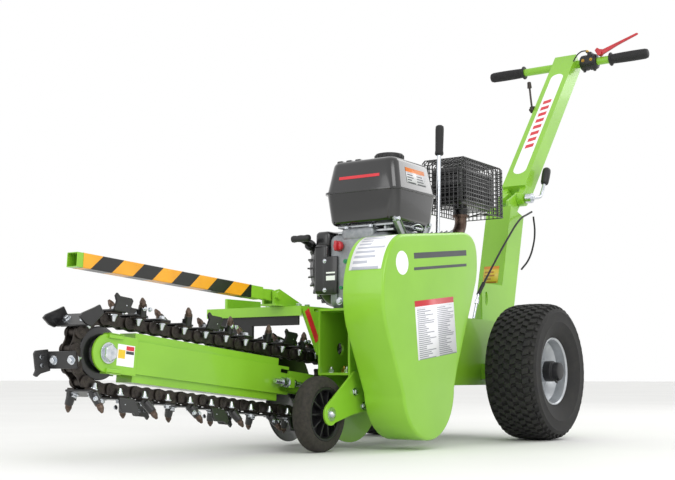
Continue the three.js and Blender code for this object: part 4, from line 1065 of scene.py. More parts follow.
piece("fan_housing_shell", fan_housing(), black_enamel, "chassis", ["fan_housing"], bevel=0.6,
      smooth=32)
piece("recoil_starter_bowl", recoil_bowl(), black_enamel, "chassis", ["recoil_cover"], bevel=0.4,
      steps=1, smooth=32)
piece("starter_pull_handle", pull_handle(), moulded_nylon, "starter", ["starter_handle"],
      smooth=40)

HOUSING_BOLT_CIRCLE, HOUSING_FACE_Y = 97, -150.5
housing_bolts = bmesh.new()
for i in range(4):
    angle = math.pi / 4 + i * math.pi / 2
    bolt_at = CRANK + HOUSING_BOLT_CIRCLE * Vector((math.cos(angle), 0, math.sin(angle)))
    hex_bolt(housing_bolts, (bolt_at.x, HOUSING_FACE_Y, bolt_at.z), (0, -1, 0), 9, 5)
for z in (398, 474):
    hex_bolt(housing_bolts, (525, -105, z), (1, 0, 0), 8, 4, dome=True)
piece("fan_housing_bolts", housing_bolts, zinc_plate, "chassis", bevel=0.3, steps=1)
seal = bmesh.new()
SEAL_PLUGS = (((519, -40, 470), (527, -40, 470), 6), ((525, -52, 402), (529, -52, 402), 5))
for plug_foot, plug_head, plug_radius in SEAL_PLUGS:
    bar(seal, plug_foot, plug_head, plug_radius, 18)
piece("governor_seals", seal, fan_green_enamel, "chassis", bevel=0.6)

# %% [markdown]
# The switch is a red knob. The tank is two gloss-black pressings joined at a rolled seam: both halves taper
# away from the seam, with wide corner radii. Its cap has grip ridges.

# %% Switch, fuel tank and cap
switch_low, switch_high = box_mm("engine_switch")
switch_middle = (switch_low + switch_high) / 2


def switch_knob():
    bm = bmesh.new()
    y, z = switch_middle.y, switch_middle.z
    turned(bm, [(0, 0), (13.5, 0), (14, 4), (12.5, 9), (10, 10.5), (0, 10.5)], (switch_low.x + 0.3, y, z), Z_TO_X, 28)
    rounded_block(bm, switch_low.x + 8, switch_high.x - 0.5, y - 4, y + 4, z - 13.5, z + 13.5, 3, 3)
    return bm


cap_middle = joint_mm("fuel_cap_turn")
TANK_FILLER = Vector((cap_middle.x, cap_middle.y, 0))


def tank_half(bm, low, high, small, x_pad, y_pad):
    """One pressing: a tapered block with wide vertical corners and a rolled far edge."""
    x0, x1, y0, y1 = 313, 526, -108, 115
    shape = bmesh.new()
    verts = block(shape, x0, x1, y0, y1, low, high)
    far_z = high if small == "top" else low
    centre = Vector(((x0 + x1) / 2, (y0 + y1) / 2, 0))
    for v in verts:
        if abs(v.co.z - far_z) < 1:
            v.co.x -= math.copysign(x_pad, v.co.x - centre.x)
            v.co.y -= math.copysign(y_pad, v.co.y - centre.y)
    upright = [e for e in shape.edges if abs(e.verts[0].co.z - e.verts[1].co.z) > 20]
    bmesh.ops.bevel(shape, geom=upright, offset=26, offset_type="OFFSET", segments=6, profile=0.5, affect="EDGES",
                    material=-1)
    rim = [e for e in shape.edges if all(abs(v.co.z - far_z) < 1 for v in e.verts)]
    bmesh.ops.bevel(shape, geom=rim, offset=13, offset_type="OFFSET", segments=5, profile=0.5, affect="EDGES",
                    material=-1)
    absorb(bm, shape)
    shape.free()


def fuel_tank():
    bm = bmesh.new()
    tank_half(bm, 566.5, 651, "bottom", 9, 9)
    tank_half(bm, 651, 736, "top", 13, 15)
    seam = bmesh.new()
    block(seam, 307.5, 531.5, -112.5, 119.5, 648, 654)
    upright = [e for e in seam.edges if abs(e.verts[0].co.z - e.verts[1].co.z) > 2]
    bmesh.ops.bevel(seam, geom=upright, offset=30, offset_type="OFFSET", segments=6, profile=0.5, affect="EDGES",
                    material=-1)
    absorb(bm, seam)
    seam.free()
    turned(bm, [(26, 728), (37, 728), (36, 738), (33, 741), (33, 747.6), (26, 747.6)], TANK_FILLER,
           Matrix.Identity(4), 48)
    for y in (-72, -44, -16):
        rounded_block(bm, 430, 505, y - 9, y + 9, 730, 739.5, 4, 3)
    return bm


def fuel_cap():
    bm = bmesh.new()
    turned(bm, [(0, 748.6), (38, 748.6), (39, 751), (39, 760), (36, 764.5), (30, 766), (0, 766)], TANK_FILLER,
           Matrix.Identity(4), 48)
    for i in range(20):
        turn = Matrix.Translation(TANK_FILLER) @ Matrix.Rotation(i * math.pi / 10, 4, "Z")
        ridge = bmesh.new()
        rounded_block(ridge, 36, 40, -2.2, 2.2, 749.5, 761, 0.9, 2)
        absorb(bm, ridge, turn)
        ridge.free()
    return bm


piece("engine_switch_knob", switch_knob(), red_enamel, "switch", ["engine_switch"], smooth=35)
piece("pressed_fuel_tank", fuel_tank(), gloss_tank_enamel, "chassis", ["fuel_tank"], bevel=0.8,
      smooth=32)
piece("ridged_fuel_cap", fuel_cap(), moulded_nylon, "cap", ["fuel_cap"], smooth=35)

# %% [markdown]
# The tank stands on a pressed alloy plate and on two straps that form a V down to the crankcase.

# %% Tank brackets, air cleaner and carburettor
softened("tank_bracket", pressed_aluminium, bevel=0.8)


def strap(bm, top, bottom, width, thickness=5):
    line = Vector(top) - Vector(bottom)
    middle = (Vector(top) + Vector(bottom)) / 2
    shape = bmesh.new()
    rounded_block(shape, -width / 2, width / 2, -thickness / 2, thickness / 2, -line.length / 2, line.length / 2,
                  2, 2)
    for edge in (-1, 1):
        rounded_block(shape, *sorted((edge * (width / 2 - 3), edge * width / 2)), -thickness, thickness,
                      -line.length / 2 + 8, line.length / 2 - 8, 1.2, 1)
    turn = Matrix.Rotation(math.atan2(line.x, line.z), 4, "Y")
    absorb(bm, shape, Matrix.Translation(middle) @ turn)
    shape.free()


STRAP_Y = box_mm("crankcase")[1].y + 4
CASE_TOP = box_mm("tank_bracket")[0].z
straps, strap_bolts = bmesh.new(), bmesh.new()
for share, side in ((0.89, 1), (0.12, -1)):
    head = share_of("fuel_tank", share, 0, 0.09)
    foot = Vector((CRANK.x + side * 32, STRAP_Y, CASE_TOP - 34))
    head.y = STRAP_Y
    strap(straps, head, foot, 25)
    for along in (0.12, 0.88):
        hex_bolt(strap_bolts, head.lerp(foot, along) + Vector((0, 3, 0)), (0, 1, 0), 11, 6)
piece("tank_straps", straps, pressed_aluminium, "chassis", smooth=32)
piece("tank_strap_bolts", strap_bolts, zinc_plate, "chassis", bevel=0.3, steps=1)


def air_cleaner():
    bm = bmesh.new()
    rounded_block(bm, 191, 295, -111, -53, 601, 721, 10)
    for i in range(6):
        rounded_block(bm, 187, 299, -113, -60, 618 + i * 14, 622 + i * 14, 1.6, 2)
    rounded_block(bm, 216, 289, -99, -61, 561, 606, 8)
    bar(bm, (243, -111, 690), (243, -122, 690), 12, 24, tip=10)
    return bm


piece("air_cleaner_box", air_cleaner(), moulded_nylon, "chassis", ["air_cleaner"], smooth=32)
carburettor = bmesh.new()
rounded_block(carburettor, 226, 280, -96, -64, 530, 566, 6)
bar(carburettor, (253, -80, 533), (253, -80, 508), 17, 28, tip=14)
bar(carburettor, (300, -78, 548), (222, -78, 548), 12, 24)
piece("carburettor_body", carburettor, cast_aluminium, "chassis", bevel=0.8, smooth=32)
linkage = bmesh.new()
wire(linkage, [(258, -66, 566), (290, -30, 570), (340, 20, 560), (372, 84, 556), (398, 108, 540)], 1.6, 8)
wire(linkage, [(430, 100, 560), (400, 108, 568), (370, 108, 556)], 1.4, 8)
for i in range(14):
    turned(linkage, [(2.6, i * 2.6), (4.4, i * 2.6), (4.4, i * 2.6 + 1.6), (2.6, i * 2.6 + 1.6)], (388, 108, 556),
           Z_TO_X, 14)
piece("governor_linkage", linkage, zinc_plate, "chassis", smooth=40)

# %% [markdown]
# The muffler is a pressed can with a louvred heat shield, hidden in a cage of black-painted wire. The cage is real
# wire here: rings round it, and bows that run up one side, over the top and down the other.

# %% Muffler, cage and exhaust
CAGE = (-122, 126, -44, 99, 646, 796)


def muffler_can():
    bm = bmesh.new()
    rounded_block(bm, -99, 104, -27, 78, 665, 775, 16, 4)
    rounded_block(bm, -103, 108, -24, 75, 717, 723, 2.4, 2)
    rounded_block(bm, -92, 97, 76, 83, 672, 768, 3, 2)
    for column in range(4):
        for row in range(6):
            x, z = -82 + column * 46, 679 + row * 14.5
            rounded_block(bm, x, x + 36, 81, 87, z, z + 6.5, 2.2, 2)
    for row in range(6):
        z = 679 + row * 14.5
        rounded_block(bm, 102, 109, -16, 66, z, z + 6.5, 2.2, 2)
    bar(bm, (20, 28, 668), (20, 28, 641), 21.5, 32)
    return bm


def wire_cage():
    x0, x1, y0, y1, z0, z1 = CAGE
    corner = 8
    bm = bmesh.new()
    for i in range(12):
        z = z0 + i * 12.2
        ring = [(x0 + corner, y0, z), (x1 - corner, y0, z), (x1, y0 + corner, z), (x1, y1 - corner, z),
                (x1 - corner, y1, z), (x0 + corner, y1, z), (x0, y1 - corner, z), (x0, y0 + corner, z)]
        wire(bm, ring, 1.5, 8, smooth=False, closed=True)
    bows = [(x0 + 10 + i * 14.2, "x") for i in range(17)] + [(y0 + 12 + i * 13.6, "y") for i in range(10)]
    for at, kind in bows:
        near, far = (y0, y1) if kind == "x" else (x0, x1)
        profile = [(near, z0), (near, z1 - corner), (near + corner, z1),
                   (far - corner, z1), (far, z1 - corner), (far, z0)]
        points = [(at, p, z) if kind == "x" else (p, at, z) for p, z in profile]
        wire(bm, points, 1.5, 8, smooth=False)
    zigzag = [(x0 + 2, y1 - 4 - (i % 2) * 15, z0 + 4 + i * 6) for i in range(23)]
    wire(bm, zigzag, 1.5, 8, smooth=False)
    for x in (x0 + 16, x1 - 16):
        wire(bm, [(x, y0 + 3, z0 + 3), (x, 28, z0 + 16), (x, y1 - 3, z0 + 3)], 2.4, 8, smooth=False)
    return bm


exhaust = bmesh.new()
wire(exhaust, [(20, 28, 644), (21, 28, 612), (50, 28, 582), (97, 28, 566.8), (128, 28, 552)], 17.4, 32)
for start, end in (((20, 28, 636), (20, 28, 643)), ((104, 28, 563), (111, 28, 560))):
    bar(exhaust, start, end, 24, 32)
piece("muffler_can_and_shield", muffler_can(), black_enamel, "chassis", ["muffler"], smooth=32)
piece("muffler_wire_cage", wire_cage(), black_enamel, "chassis", ["muffler_guard"], smooth=40)
piece("exhaust_elbow", exhaust, heat_tinted_steel, "chassis", ["exhaust_pipe"], smooth=40)

# %% [markdown]
# The belt lever is a plain plated rod with a pivot boss and a long rubber grip.

# %% Belt lever
lever_rod = bmesh.new()
bar(lever_rod, (262, 73.2, 372), (262, 87, 372), 13, 28)
hex_bolt(lever_rod, (262, 86.5, 372), (0, 1, 0), 13, 6)
wire(lever_rod, [(262, 80, 372), (253, 80, 520), (238, 80, 782)], 5.5, 20)
piece("belt_lever_rod", lever_rod, zinc_plate, "belt_lever", ["drive_lever"], smooth=40)
lever_grip = bmesh.new()
lever_axis = Vector((233 - 238, 0, 866 - 781.5))
turned(lever_grip, [(0, 0), (10, 0), (11.8, 2), (12, 6), (11, 12), (11.4, 40),
                    (11.8, 74), (11, 81), (7, 84.4), (0, 84.6)],
       (238, 80, 781.5), lever_axis.to_track_quat("Z", "Y").to_matrix().to_4x4(), 28)
piece("belt_lever_rubber", lever_grip, grip_rubber, "belt_lever", ["drive_lever_grip"], smooth=40)

# %% [markdown]
# The handlebar is a painted tube with barrel-shaped rubber grips. Each grip has a hand stop at its inner end and
# fine rings, which come from a profile whose radius steps up and down.

# %% Handlebar and grips
HINGE = joint_mm("handle_tilt")
bar_middle = share_of("handlebar", 0.5, 0.5, 0.5)
BAR_X, BAR_Z = bar_middle.x, bar_middle.z
HANDLE_LEAN = math.atan2(HINGE.x - BAR_X, BAR_Z - HINGE.z)
HANDLE = ROOT @ Matrix.Translation(HINGE) @ Matrix.Rotation(-HANDLE_LEAN, 4, "Y")
print("handle leans", round(math.degrees(HANDLE_LEAN), 1), "degrees")


def grip(side):
    profile = [(14.3, 165), (22.5, 165), (24, 166.5), (24, 169.5), (22, 171), (17.5, 173)]
    for i in range(24):
        along = 175 + i * 5
        swell = 17.0 + 1.6 * math.sin(math.pi * (along - 165) / 160)
        profile += [(swell, along), (swell, along + 3), (swell - 0.8, along + 3.8), (swell - 0.8, along + 4.6)]
    profile += [(16.8, 296), (15.5, 300.5), (12, 302.8), (1, 303), (1, 298), (14.3, 298)]
    bm = bmesh.new()
    turned(bm, [(r, side * y) for r, y in profile], (BAR_X, 0, BAR_Z), steps=40)
    return bm


tube = bmesh.new()
turned(tube, [(0, -297), (14, -297), (14, 297), (0, 297)], (BAR_X, 0, BAR_Z), steps=40)
piece("handlebar_tube", tube, green_powder_coat, "handle", ["handlebar"], smooth=40)
piece("left_barrel_grip", grip(1), grip_rubber, "handle", ["left_grip"], smooth=50)
piece("right_barrel_grip", grip(-1), grip_rubber, "handle", ["right_grip"], smooth=50)

# %% [markdown]
# The clutch control is a moulded clamp on the bar with two screws, a brass cable adjuster and a red lever. The lever
# is a flat tapered blade with a thick boss, and its free end rises away from the grip.

# %% Clutch control
def control_clamp():
    bm = bmesh.new()
    turned(bm, [(14.3, 58), (24, 58), (27, 61), (28, 66), (28, 82),
                (26, 84), (26, 90), (28, 92), (28, 110), (25, 116),
                (22, 118), (14.3, 118)], (BAR_X, 0, BAR_Z), steps=40)
    rounded_block(bm, BAR_X + 15, BAR_X + 31, 66, 112, BAR_Z - 12, BAR_Z + 16, 4, 3)
    rounded_block(bm, BAR_X - 7, BAR_X + 27, 88, 104, BAR_Z + 14, BAR_Z + 33, 4, 3)
    for y in (70, 108):
        bar(bm, (BAR_X + 4, y, BAR_Z - 22), (BAR_X + 4, y, BAR_Z - 34), 6, 20, tip=5)
    return bm


def clutch_lever():
    hub = joint_mm("clutch_squeeze")
    bm = bmesh.new()
    bar(bm, hub - Vector((12, 0, 0)), hub + Vector((12, 0, 0)), 9, 28)
    shape = bmesh.new()
    sheet_plate(shape, [(-19, 14), (-10, 23), (0, 16), (12, 13.5), (60, 29), (135, 52.5),
                        (141, 51.5), (140, 46), (66, 19),
                        (14, -4), (4, -9), (-8, -6)], -4.2, 4.2)
    thin = [v for v in shape.verts if v.co.x > 50]
    bmesh.ops.scale(shape, vec=(1, 0.72, 1), verts=thin)
    absorb(bm, shape, Matrix.Translation(hub) @ Matrix.Rotation(math.pi / 2, 4, "Z"))
    shape.free()
    return bm


piece("control_clamp", control_clamp(), moulded_nylon, "handle", ["control_housing"], bevel=0.4,
      steps=1, smooth=35)
# At full squeeze the blade's underside still dips a little into the grip.
piece("clutch_blade_lever", clutch_lever(), red_enamel, "clutch", ["clutch_lever"], bevel=1.5, steps=3,
      smooth=35)
adjuster = bmesh.new()
bar(adjuster, (BAR_X + 8, 92, BAR_Z + 30), (BAR_X + 12, 80, BAR_Z + 42), 4, 16)
bar(adjuster, (BAR_X + 10, 86, BAR_Z + 36), (BAR_X + 11.5, 81.5, BAR_Z + 40.5), 6.2, 6)
for y in (74, 104):
    hex_bolt(adjuster, (BAR_X + 30.8, y, BAR_Z + 2), (1, 0, 0), 8, 4, dome=True)
piece("brass_cable_adjuster", adjuster, brass, "handle", bevel=0.4)
inner_cable = bmesh.new()
wire(inner_cable, [(BAR_X + 12, 80, BAR_Z + 42), (BAR_X + 20, 62, BAR_Z + 38), (BAR_X + 34, 40, BAR_Z + 4),
                   (BAR_X + 38, 26, BAR_Z - 34), (BAR_X + 44, 20, BAR_Z - 50)], 2.4, 12)
bar(inner_cable, (BAR_X + 33, 22, BAR_Z - 46), (BAR_X + 48, 19, BAR_Z - 55), 6, 20)
piece("clutch_cable_to_column", inner_cable, grip_rubber, "handle", smooth=40)

# %% [markdown]
# A small throttle lever stands on the far side of the column, and a bent clamp lever with a black knob locks the
# hinge on the near side.

# %% Throttle and clamp levers
throttle = bmesh.new()
y = -41
bar(throttle, (-668, y - 14, 1102), (-668, y - 0.4, 1102), 12, 28)
hex_bolt(throttle, (-668, y - 13.5, 1102), (0, -1, 0), 10, 5)
wire(throttle, [(-668, y - 9, 1102), (-666, y - 12, 1134), (-660, y - 14, 1182)], 3.6, 12)
bar(throttle, (-660.5, y - 14, 1178), (-659, y - 15, 1199), 8, 20, tip=6.5)
bar(throttle, (-659, y - 15, 1198.5), (-658.8, y - 15, 1200.5), 6.5, 20, tip=4)
piece("throttle_lever_and_knob", throttle, oiled_chain_steel, "throttle", ["throttle_lever"],
      bevel=0.6, smooth=38)

clamp_rod = bmesh.new()
bar(clamp_rod, (-400, 46.4, 745), (-400, 66, 745), 16, 32)
hex_bolt(clamp_rod, (-400, 65.6, 745), (0, 1, 0), 15, 7)
wire(clamp_rod, [(-400, 58, 745), (-428, 64, 750), (-450, 70, 755), (-466, 70, 772), (-486, 70, 802)], 5.4, 20)
piece("hinge_clamp_rod", clamp_rod, zinc_plate, "handle_clamp", ["clamp_lever"], bevel=0.4, smooth=40)
knob = bmesh.new()
knob_line = Vector((-512 + 487, 0, 858 - 802))
turned(knob, [(0, 0), (9, 0), (11.5, 2), (13, 8), (13.8, 30), (13.8, 48), (12.6, 56), (9, 60), (4, 61.2), (0, 61.3)],
       (-487, 70, 802), knob_line.to_track_quat("Z", "Y").to_matrix().to_4x4(), 32)
piece("hinge_clamp_knob", knob, moulded_nylon, "handle_clamp", ["clamp_lever_knob"], smooth=40)

# %% [markdown]
# The Bowden cables are clipped to the machine all the way. The long one ends in a black ferrule and a plated
# rod at the belt tensioner, and the short one goes into the post.

# %% Cables
long_cable = bmesh.new()
wire(long_cable, [(-424, 52, 704), (-380, 56, 690), (-320, 60, 668),
                  (-215, 62, 590), (-110, 64, 500), (-45, 62, 436)],
     3, 16)
bar(long_cable, (-56, 62, 447), (-20, 62, 412), 5.6, 20)
piece("clutch_bowden_cable", long_cable, grip_rubber, "chassis", ["clutch_cable"], smooth=45)
pull_rod = bmesh.new()
bar(pull_rod, (-21, 62, 413), (8, 60, 340.6), 3.8, 16)
bar(pull_rod, (-14, 61.8, 396), (-9, 61.6, 384), 6, 6)
piece("clutch_pull_rod", pull_rod, zinc_plate, "chassis", smooth=40)
short_cable = bmesh.new()
wire(short_cable, [(-436, 52, 690), (-440, 54, 640), (-424, 54, 590), (-392, 52, 545), (-352, 46, 512)], 3, 16)
piece("brake_bowden_cable", short_cable, grip_rubber, "chassis", ["brake_cable"], smooth=45)

# %% [markdown]
# Labels are printed vinyl, a third of a millimetre thick. They carry no words here: a coloured header, and rows of
# grey dashes of uneven length where a real label has its small print. The pattern reads the label's own UV map.

# %% Label helpers
def print_finish(name, ground, header, header_from, rows, columns, ink="#9b9da6"):
    made = finish(name, (ground, ground), 50, (0.35, 0.45), coat=0.2)
    tree = made.node_tree
    shader = tree.nodes["Principled BSDF"]
    uv = node(tree, "ShaderNodeUVMap", {"uv_map": "label"}).outputs["UV"]
    parts = node(tree, "ShaderNodeSeparateXYZ", {}, {"Vector": uv})
    across, up = parts.outputs["X"], parts.outputs["Y"]
    line = node(tree, "ShaderNodeMath", {"operation": "MULTIPLY", 1: rows}, {0: up})
    cell = node(tree, "ShaderNodeMath", {"operation": "MULTIPLY", 1: columns}, {0: across})
    line_share = node(tree, "ShaderNodeMath", {"operation": "FRACT"}, {0: line.outputs[0]})
    cell_share = node(tree, "ShaderNodeMath", {"operation": "FRACT"}, {0: cell.outputs[0]})
    line_number = node(tree, "ShaderNodeMath", {"operation": "FLOOR"}, {0: line.outputs[0]})
    cell_number = node(tree, "ShaderNodeMath", {"operation": "FLOOR"}, {0: cell.outputs[0]})
    pair = node(tree, "ShaderNodeCombineXYZ", {}, {"X": cell_number.outputs[0], "Y": line_number.outputs[0]})
    chance = node(tree, "ShaderNodeTexWhiteNoise", {"noise_dimensions": "2D"}, {"Vector": pair.outputs[0]})
    length = node(tree, "ShaderNodeMapRange", {"To Min": 0.45, "To Max": 0.98}, {"Value": chance.outputs["Value"]})
    short = node(tree, "ShaderNodeMath", {"operation": "LESS_THAN"}, {0: cell_share.outputs[0], 1: length.outputs[0]})
    indent = node(tree, "ShaderNodeMath", {"operation": "GREATER_THAN", 1: 0.08}, {0: cell_share.outputs[0]})
    thin = node(tree, "ShaderNodeMath", {"operation": "LESS_THAN", 1: 0.5}, {0: line_share.outputs[0]})
    below = node(tree, "ShaderNodeMath", {"operation": "LESS_THAN", 1: header_from - 0.03}, {0: up})
    dash = node(tree, "ShaderNodeMath", {"operation": "MULTIPLY"}, {0: short.outputs[0], 1: indent.outputs[0]})
    rule = node(tree, "ShaderNodeMath", {"operation": "MULTIPLY"}, {0: thin.outputs[0], 1: below.outputs[0]})
    mark = node(tree, "ShaderNodeMath", {"operation": "MULTIPLY"}, {0: dash.outputs[0], 1: rule.outputs[0]})
    printed = node(tree, "ShaderNodeMix", {"data_type": "RGBA", 6: colour(ground), 7: colour(ink)},
                   {0: mark.outputs[0]})
    top = node(tree, "ShaderNodeMath", {"operation": "GREATER_THAN", 1: header_from}, {0: up})
    whole = node(tree, "ShaderNodeMix", {"data_type": "RGBA", 7: colour(header)},
                 {0: top.outputs[0], 6: printed.outputs[2]})
    tree.links.new(whole.outputs[2], shader.inputs["Base Color"])
    return made


def label(name, rows, material, body, place=ROOT, lift=0.35):
    """A vinyl label through rows of points, from its top row down, each from left to right."""
    bm = bmesh.new()
    uv = bm.loops.layers.uv.new("label")
    grid = [[bm.verts.new(p) for p in row] for row in rows]
    last_row, last_column = len(rows) - 1, len(rows[0]) - 1
    for i in range(last_row):
        for j in range(last_column):
            face = bm.faces.new((grid[i + 1][j], grid[i + 1][j + 1], grid[i][j + 1], grid[i][j]))
            for loop, (r, c) in zip(face.loops, ((i + 1, j), (i + 1, j + 1), (i, j + 1), (i, j))):
                loop[uv].uv = (c / last_column, 1 - r / last_row)
    made = piece(name, bm, material, body, (), place, smooth=40, tidy=False)
    skin = made.modifiers.new("vinyl", "SOLIDIFY")
    skin.thickness = lift / 1000
    skin.offset = 1
    return made


def plain_patch(name, outline, material, body, place, from_y, to_y):
    bm = bmesh.new()
    sheet_plate(bm, outline, from_y, to_y)
    return piece(name, bm, material, body, (), place)


def rounded_strip(from_z, to_z, half, steps=10):
    """The outline of a strip with round ends, standing along z."""
    points = [(half * math.cos(a), to_z - half + half * math.sin(a)) for a in
              [math.pi * i / steps for i in range(steps + 1)]]
    return points + [(-x, from_z + half - (z - to_z + half)) for x, z in points]


# %% [markdown]
# Labels are placed by the parts that carry them: at shares of the cover's box, along the slope of its top edge,
# a washer's width behind the nose bolt, down the edge of the hood's gusset, and in the middle of the column.

# %% Labels
safety_print = print_finish("safety_label_vinyl", "#f0f0f4", "#c92a32", 0.90, 30, 2)
notice_print = print_finish("notice_label_vinyl", "#f4f4f6", "#f4f4f6", 0.97, 9, 1, "#b9bcc8")
tank_print = print_finish("tank_label_vinyl", "#d9d9dc", "#e07a25", 0.72, 6, 2, "#6c6e74")
post_print = print_finish("post_label_vinyl", "#d9c13c", "#d98f2a", 0.84, 5, 1, "#b07c28")
white_vinyl = finish("white_vinyl", ("#f3f3f4", "#f8f8f8"), 30, (0.3, 0.4), coat=0.2)
red_vinyl = finish("red_vinyl", ("#cc2330", "#d62c38"), 30, (0.3, 0.4), coat=0.2)
dark_vinyl = finish("dark_vinyl", ("#33363a", "#3d4044"), 30, (0.3, 0.4), coat=0.2)
yellow_vinyl = finish("yellow_vinyl", ("#e8c21f", "#efca2a"), 30, (0.3, 0.4), coat=0.2)

cover_low, cover_high = box_mm("belt_cover")
COVER_LENGTH = cover_high.x - cover_low.x
COVER_HEIGHT = cover_high.z - cover_low.z
LABEL_Y = COVER_FACE + 0.05
top_edge = [p for p in cover_outline() if p[1] > cover_high.z - 0.07 * COVER_HEIGHT]
front_top = max(top_edge)
rear_top = max(top_edge, key=lambda p: p[1])
TOP_SLOPE = math.atan2(rear_top[1] - front_top[1], front_top[0] - rear_top[0])


def on_cover(middle, along, up):
    """A point on the cover's face: distances from a middle, along and square to the top edge."""
    c, s = math.cos(TOP_SLOPE), math.sin(TOP_SLOPE)
    return middle.x + along * c + up * s, middle.z - along * s + up * c


def cover_patch(middle, length, height):
    corners = ((length, height), (-length, height), (-length, -height), (length, -height))
    return [on_cover(middle, a / 2, u / 2) for a, u in corners]


safety_middle = share_of("belt_cover", 0.48, 1, 0.52)
a, b, c, d = cover_patch(safety_middle, 0.41 * COVER_LENGTH, 0.27 * COVER_HEIGHT)
label("cover_safety_label", [[(a[0], LABEL_Y, a[1]), (b[0], LABEL_Y, b[1])],
                             [(d[0], LABEL_Y, d[1]), (c[0], LABEL_Y, c[1])]], safety_print, "chassis")


def cover_top_label():
    """Follows the rolled front corner, just outside the metal."""
    path = curve_through((776, 403), (752, 498), (680, 507), 24)[1:22]
    near = cover_low.y + 0.07 * (cover_high.y - cover_low.y)
    far = cover_high.y - 0.1 * (cover_high.y - cover_low.y)
    rows = []
    for (x0, z0), (x1, z1) in zip(path, path[1:]):
        out = Vector((z1 - z0, 0, x0 - x1)).normalized() * 0.1
        rows.append([(x0 + out.x, y, z0 + out.z) for y in (near, (near + far) / 2, far)])
    return rows[::-1]


label("cover_notice_label", cover_top_label(), notice_print, "chassis")
for name, up, height in (("cover_long_stripe", 0.87, 14), ("cover_short_stripe", 0.81, 7)):
    outline = cover_patch(share_of("belt_cover", 0.42, 1, up), 0.57 * COVER_LENGTH, height)
    plain_patch(name, outline, dark_vinyl, "chassis", ROOT, LABEL_Y, LABEL_Y + 0.3)
disc_middle = share_of("belt_cover", 0.82, 1, 0.80)
DISC_R = 0.06 * COVER_LENGTH
disc = [(disc_middle.x + DISC_R * math.cos(i * math.pi / 16), disc_middle.z + DISC_R * math.sin(i * math.pi / 16))
        for i in range(32)]
plain_patch("cover_white_disc", disc, white_vinyl, "chassis", ROOT, LABEL_Y, LABEL_Y + 0.3)

# The boom's label ends a washer's width behind the nose bolt.
nose_pin = (MM @ Vector(joint_rows["nose_spin"]["pos_m"]) - SHAFT)
PIN_ALONG = math.hypot(nose_pin.x, nose_pin.z)
LABEL_FRONT = PIN_ALONG - 26
LABEL_LONG, LABEL_TALL = 48, 43
BOOM_FACE = CHEEK + 0.05


def boom_patch(name, x0, x1, z0, z1, material, lift):
    """A patch at shares of the boom label."""
    back, low = LABEL_FRONT - LABEL_LONG, -LABEL_TALL / 2
    xs = [back + LABEL_LONG * share for share in (x0, x1)]
    zs = [low + LABEL_TALL * share for share in (z0, z1)]
    corners = [(xs[0], zs[0]), (xs[1], zs[0]), (xs[1], zs[1]), (xs[0], zs[1])]
    plain_patch(name, corners, material, "nose", BOOM, BOOM_FACE + lift, BOOM_FACE + lift + 0.2)


boom_patch("boom_label", 0, 1, 0, 1, white_vinyl, 0)
boom_patch("boom_label_yellow", 0.55, 0.95, 0.35, 0.75, yellow_vinyl, 0.2)
boom_patch("boom_label_red", 0.04, 0.5, 0.75, 0.95, red_vinyl, 0.2)
boom_patch("boom_label_dark", 0.04, 0.5, 0.58, 0.72, dark_vinyl, 0.2)

# The red strip runs down the gusset, inside its slanted edge.
hood_low, hood_high = box_mm("chain_hood")
gusset_top = Vector((hood_high.x - 3, 0, box_mm("main_frame")[1].z))
gusset_top.z = hood_high.z - 3
gusset_foot = Vector((box_mm("main_frame")[1].x, 0, hood_low.z))
edge = gusset_foot - gusset_top
inward = Vector((edge.z, 0, -edge.x)).normalized()
strip = [gusset_top + edge * 0.12 + inward * 6, gusset_top + edge * 0.12 + inward * 24,
         gusset_top + edge * 0.78 + inward * 24, gusset_top + edge * 0.78 + inward * 6]
plain_patch("gusset_red_strip", [(p.x, p.z) for p in strip], red_vinyl, "chassis", ROOT, -0.28, 0.1)

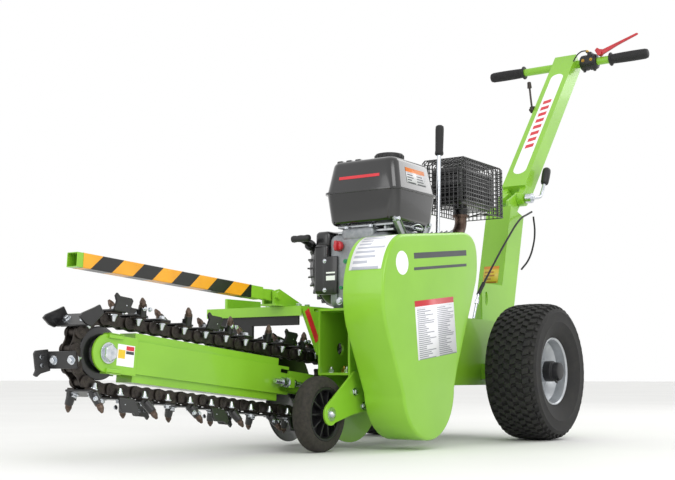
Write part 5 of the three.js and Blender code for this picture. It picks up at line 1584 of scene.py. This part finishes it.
tank_low, tank_high = box_mm("fuel_tank")
SEAM_Z = tank_low.z + 85
TANK_FLANK = (ROOT @ Matrix.Translation((0, tank_high.y - 5, SEAM_Z)) @ Matrix.Rotation(math.atan2(15, 85), 4, "X"))
label_x = [share_of("fuel_tank", share, 0, 0).x for share in (0.70, 0.27)]
label("tank_side_label", [[(x, 0.4, 62) for x in label_x], [(x, 0.4, 20) for x in label_x]], tank_print, "chassis",
      TANK_FLANK)
TANK_FRONT = (ROOT @ Matrix.Translation((tank_high.x - 6, 0, SEAM_Z)) @ Matrix.Rotation(-math.atan2(13, 85), 4, "Y"))
stripe = bmesh.new()
block(stripe, 0.2, 0.6, -62, 62, 34, 42)
piece("tank_red_stripe", stripe, red_vinyl, "chassis", place=TANK_FRONT)
panel = share_of("fan_housing", 1, 1, 0.35)
sticker = bmesh.new()
for low, high in ((-6, 6), (12, 16)):
    block(sticker, panel.x + 5.6, panel.x + 6, panel.y, panel.y + 28, panel.z + low, panel.z + high)
piece("shroud_sticker", sticker, white_vinyl, "chassis")

# The column's strip is centred between the hinge and the bar.
COLUMN_LENGTH = (bar_middle - HINGE).length
column_strip, marks = bmesh.new(), bmesh.new()
sheet_plate(column_strip, rounded_strip(0.13 * COLUMN_LENGTH, 0.88 * COLUMN_LENGTH, 23), -0.15, 0.15)
COLUMN_FRONT = HANDLE @ Matrix.Translation((30.2, 0, 0)) @ Matrix.Rotation(math.pi / 2, 4, "Z")
piece("column_white_strip", column_strip, white_vinyl, "handle", place=COLUMN_FRONT)
for i in range(8):
    z = 0.31 * COLUMN_LENGTH + i * 34
    sheet_plate(marks, [(-14, z), (14, z + 8), (14, z + 26), (-14, z + 18)], -0.5, -0.15)
piece("column_red_bars", marks, red_vinyl, "handle", place=COLUMN_FRONT)

POST_LEAN = math.radians(15.6)
POST_DEPTH, POST_HEIGHT = 95, 372
deck_top = box_mm("crankcase")[0].z
post_foot = Vector((box_mm("main_frame")[0].x - 56 - POST_DEPTH / 2, 0, deck_top))
POST = ROOT @ Matrix.Translation(post_foot) @ Matrix.Rotation(-POST_LEAN, 4, "Y")
post_rows = [[(POST_DEPTH / 2 + 0.1, y, share * POST_HEIGHT) for y in (-27, 25)] for share in (0.46, 0.31)]
label("post_notice_label", post_rows, post_print, "chassis", POST)
print("labels placed on", round(COVER_LENGTH), "mm cover; top edge falls",
      round(math.degrees(TOP_SLOPE), 1), "degrees")
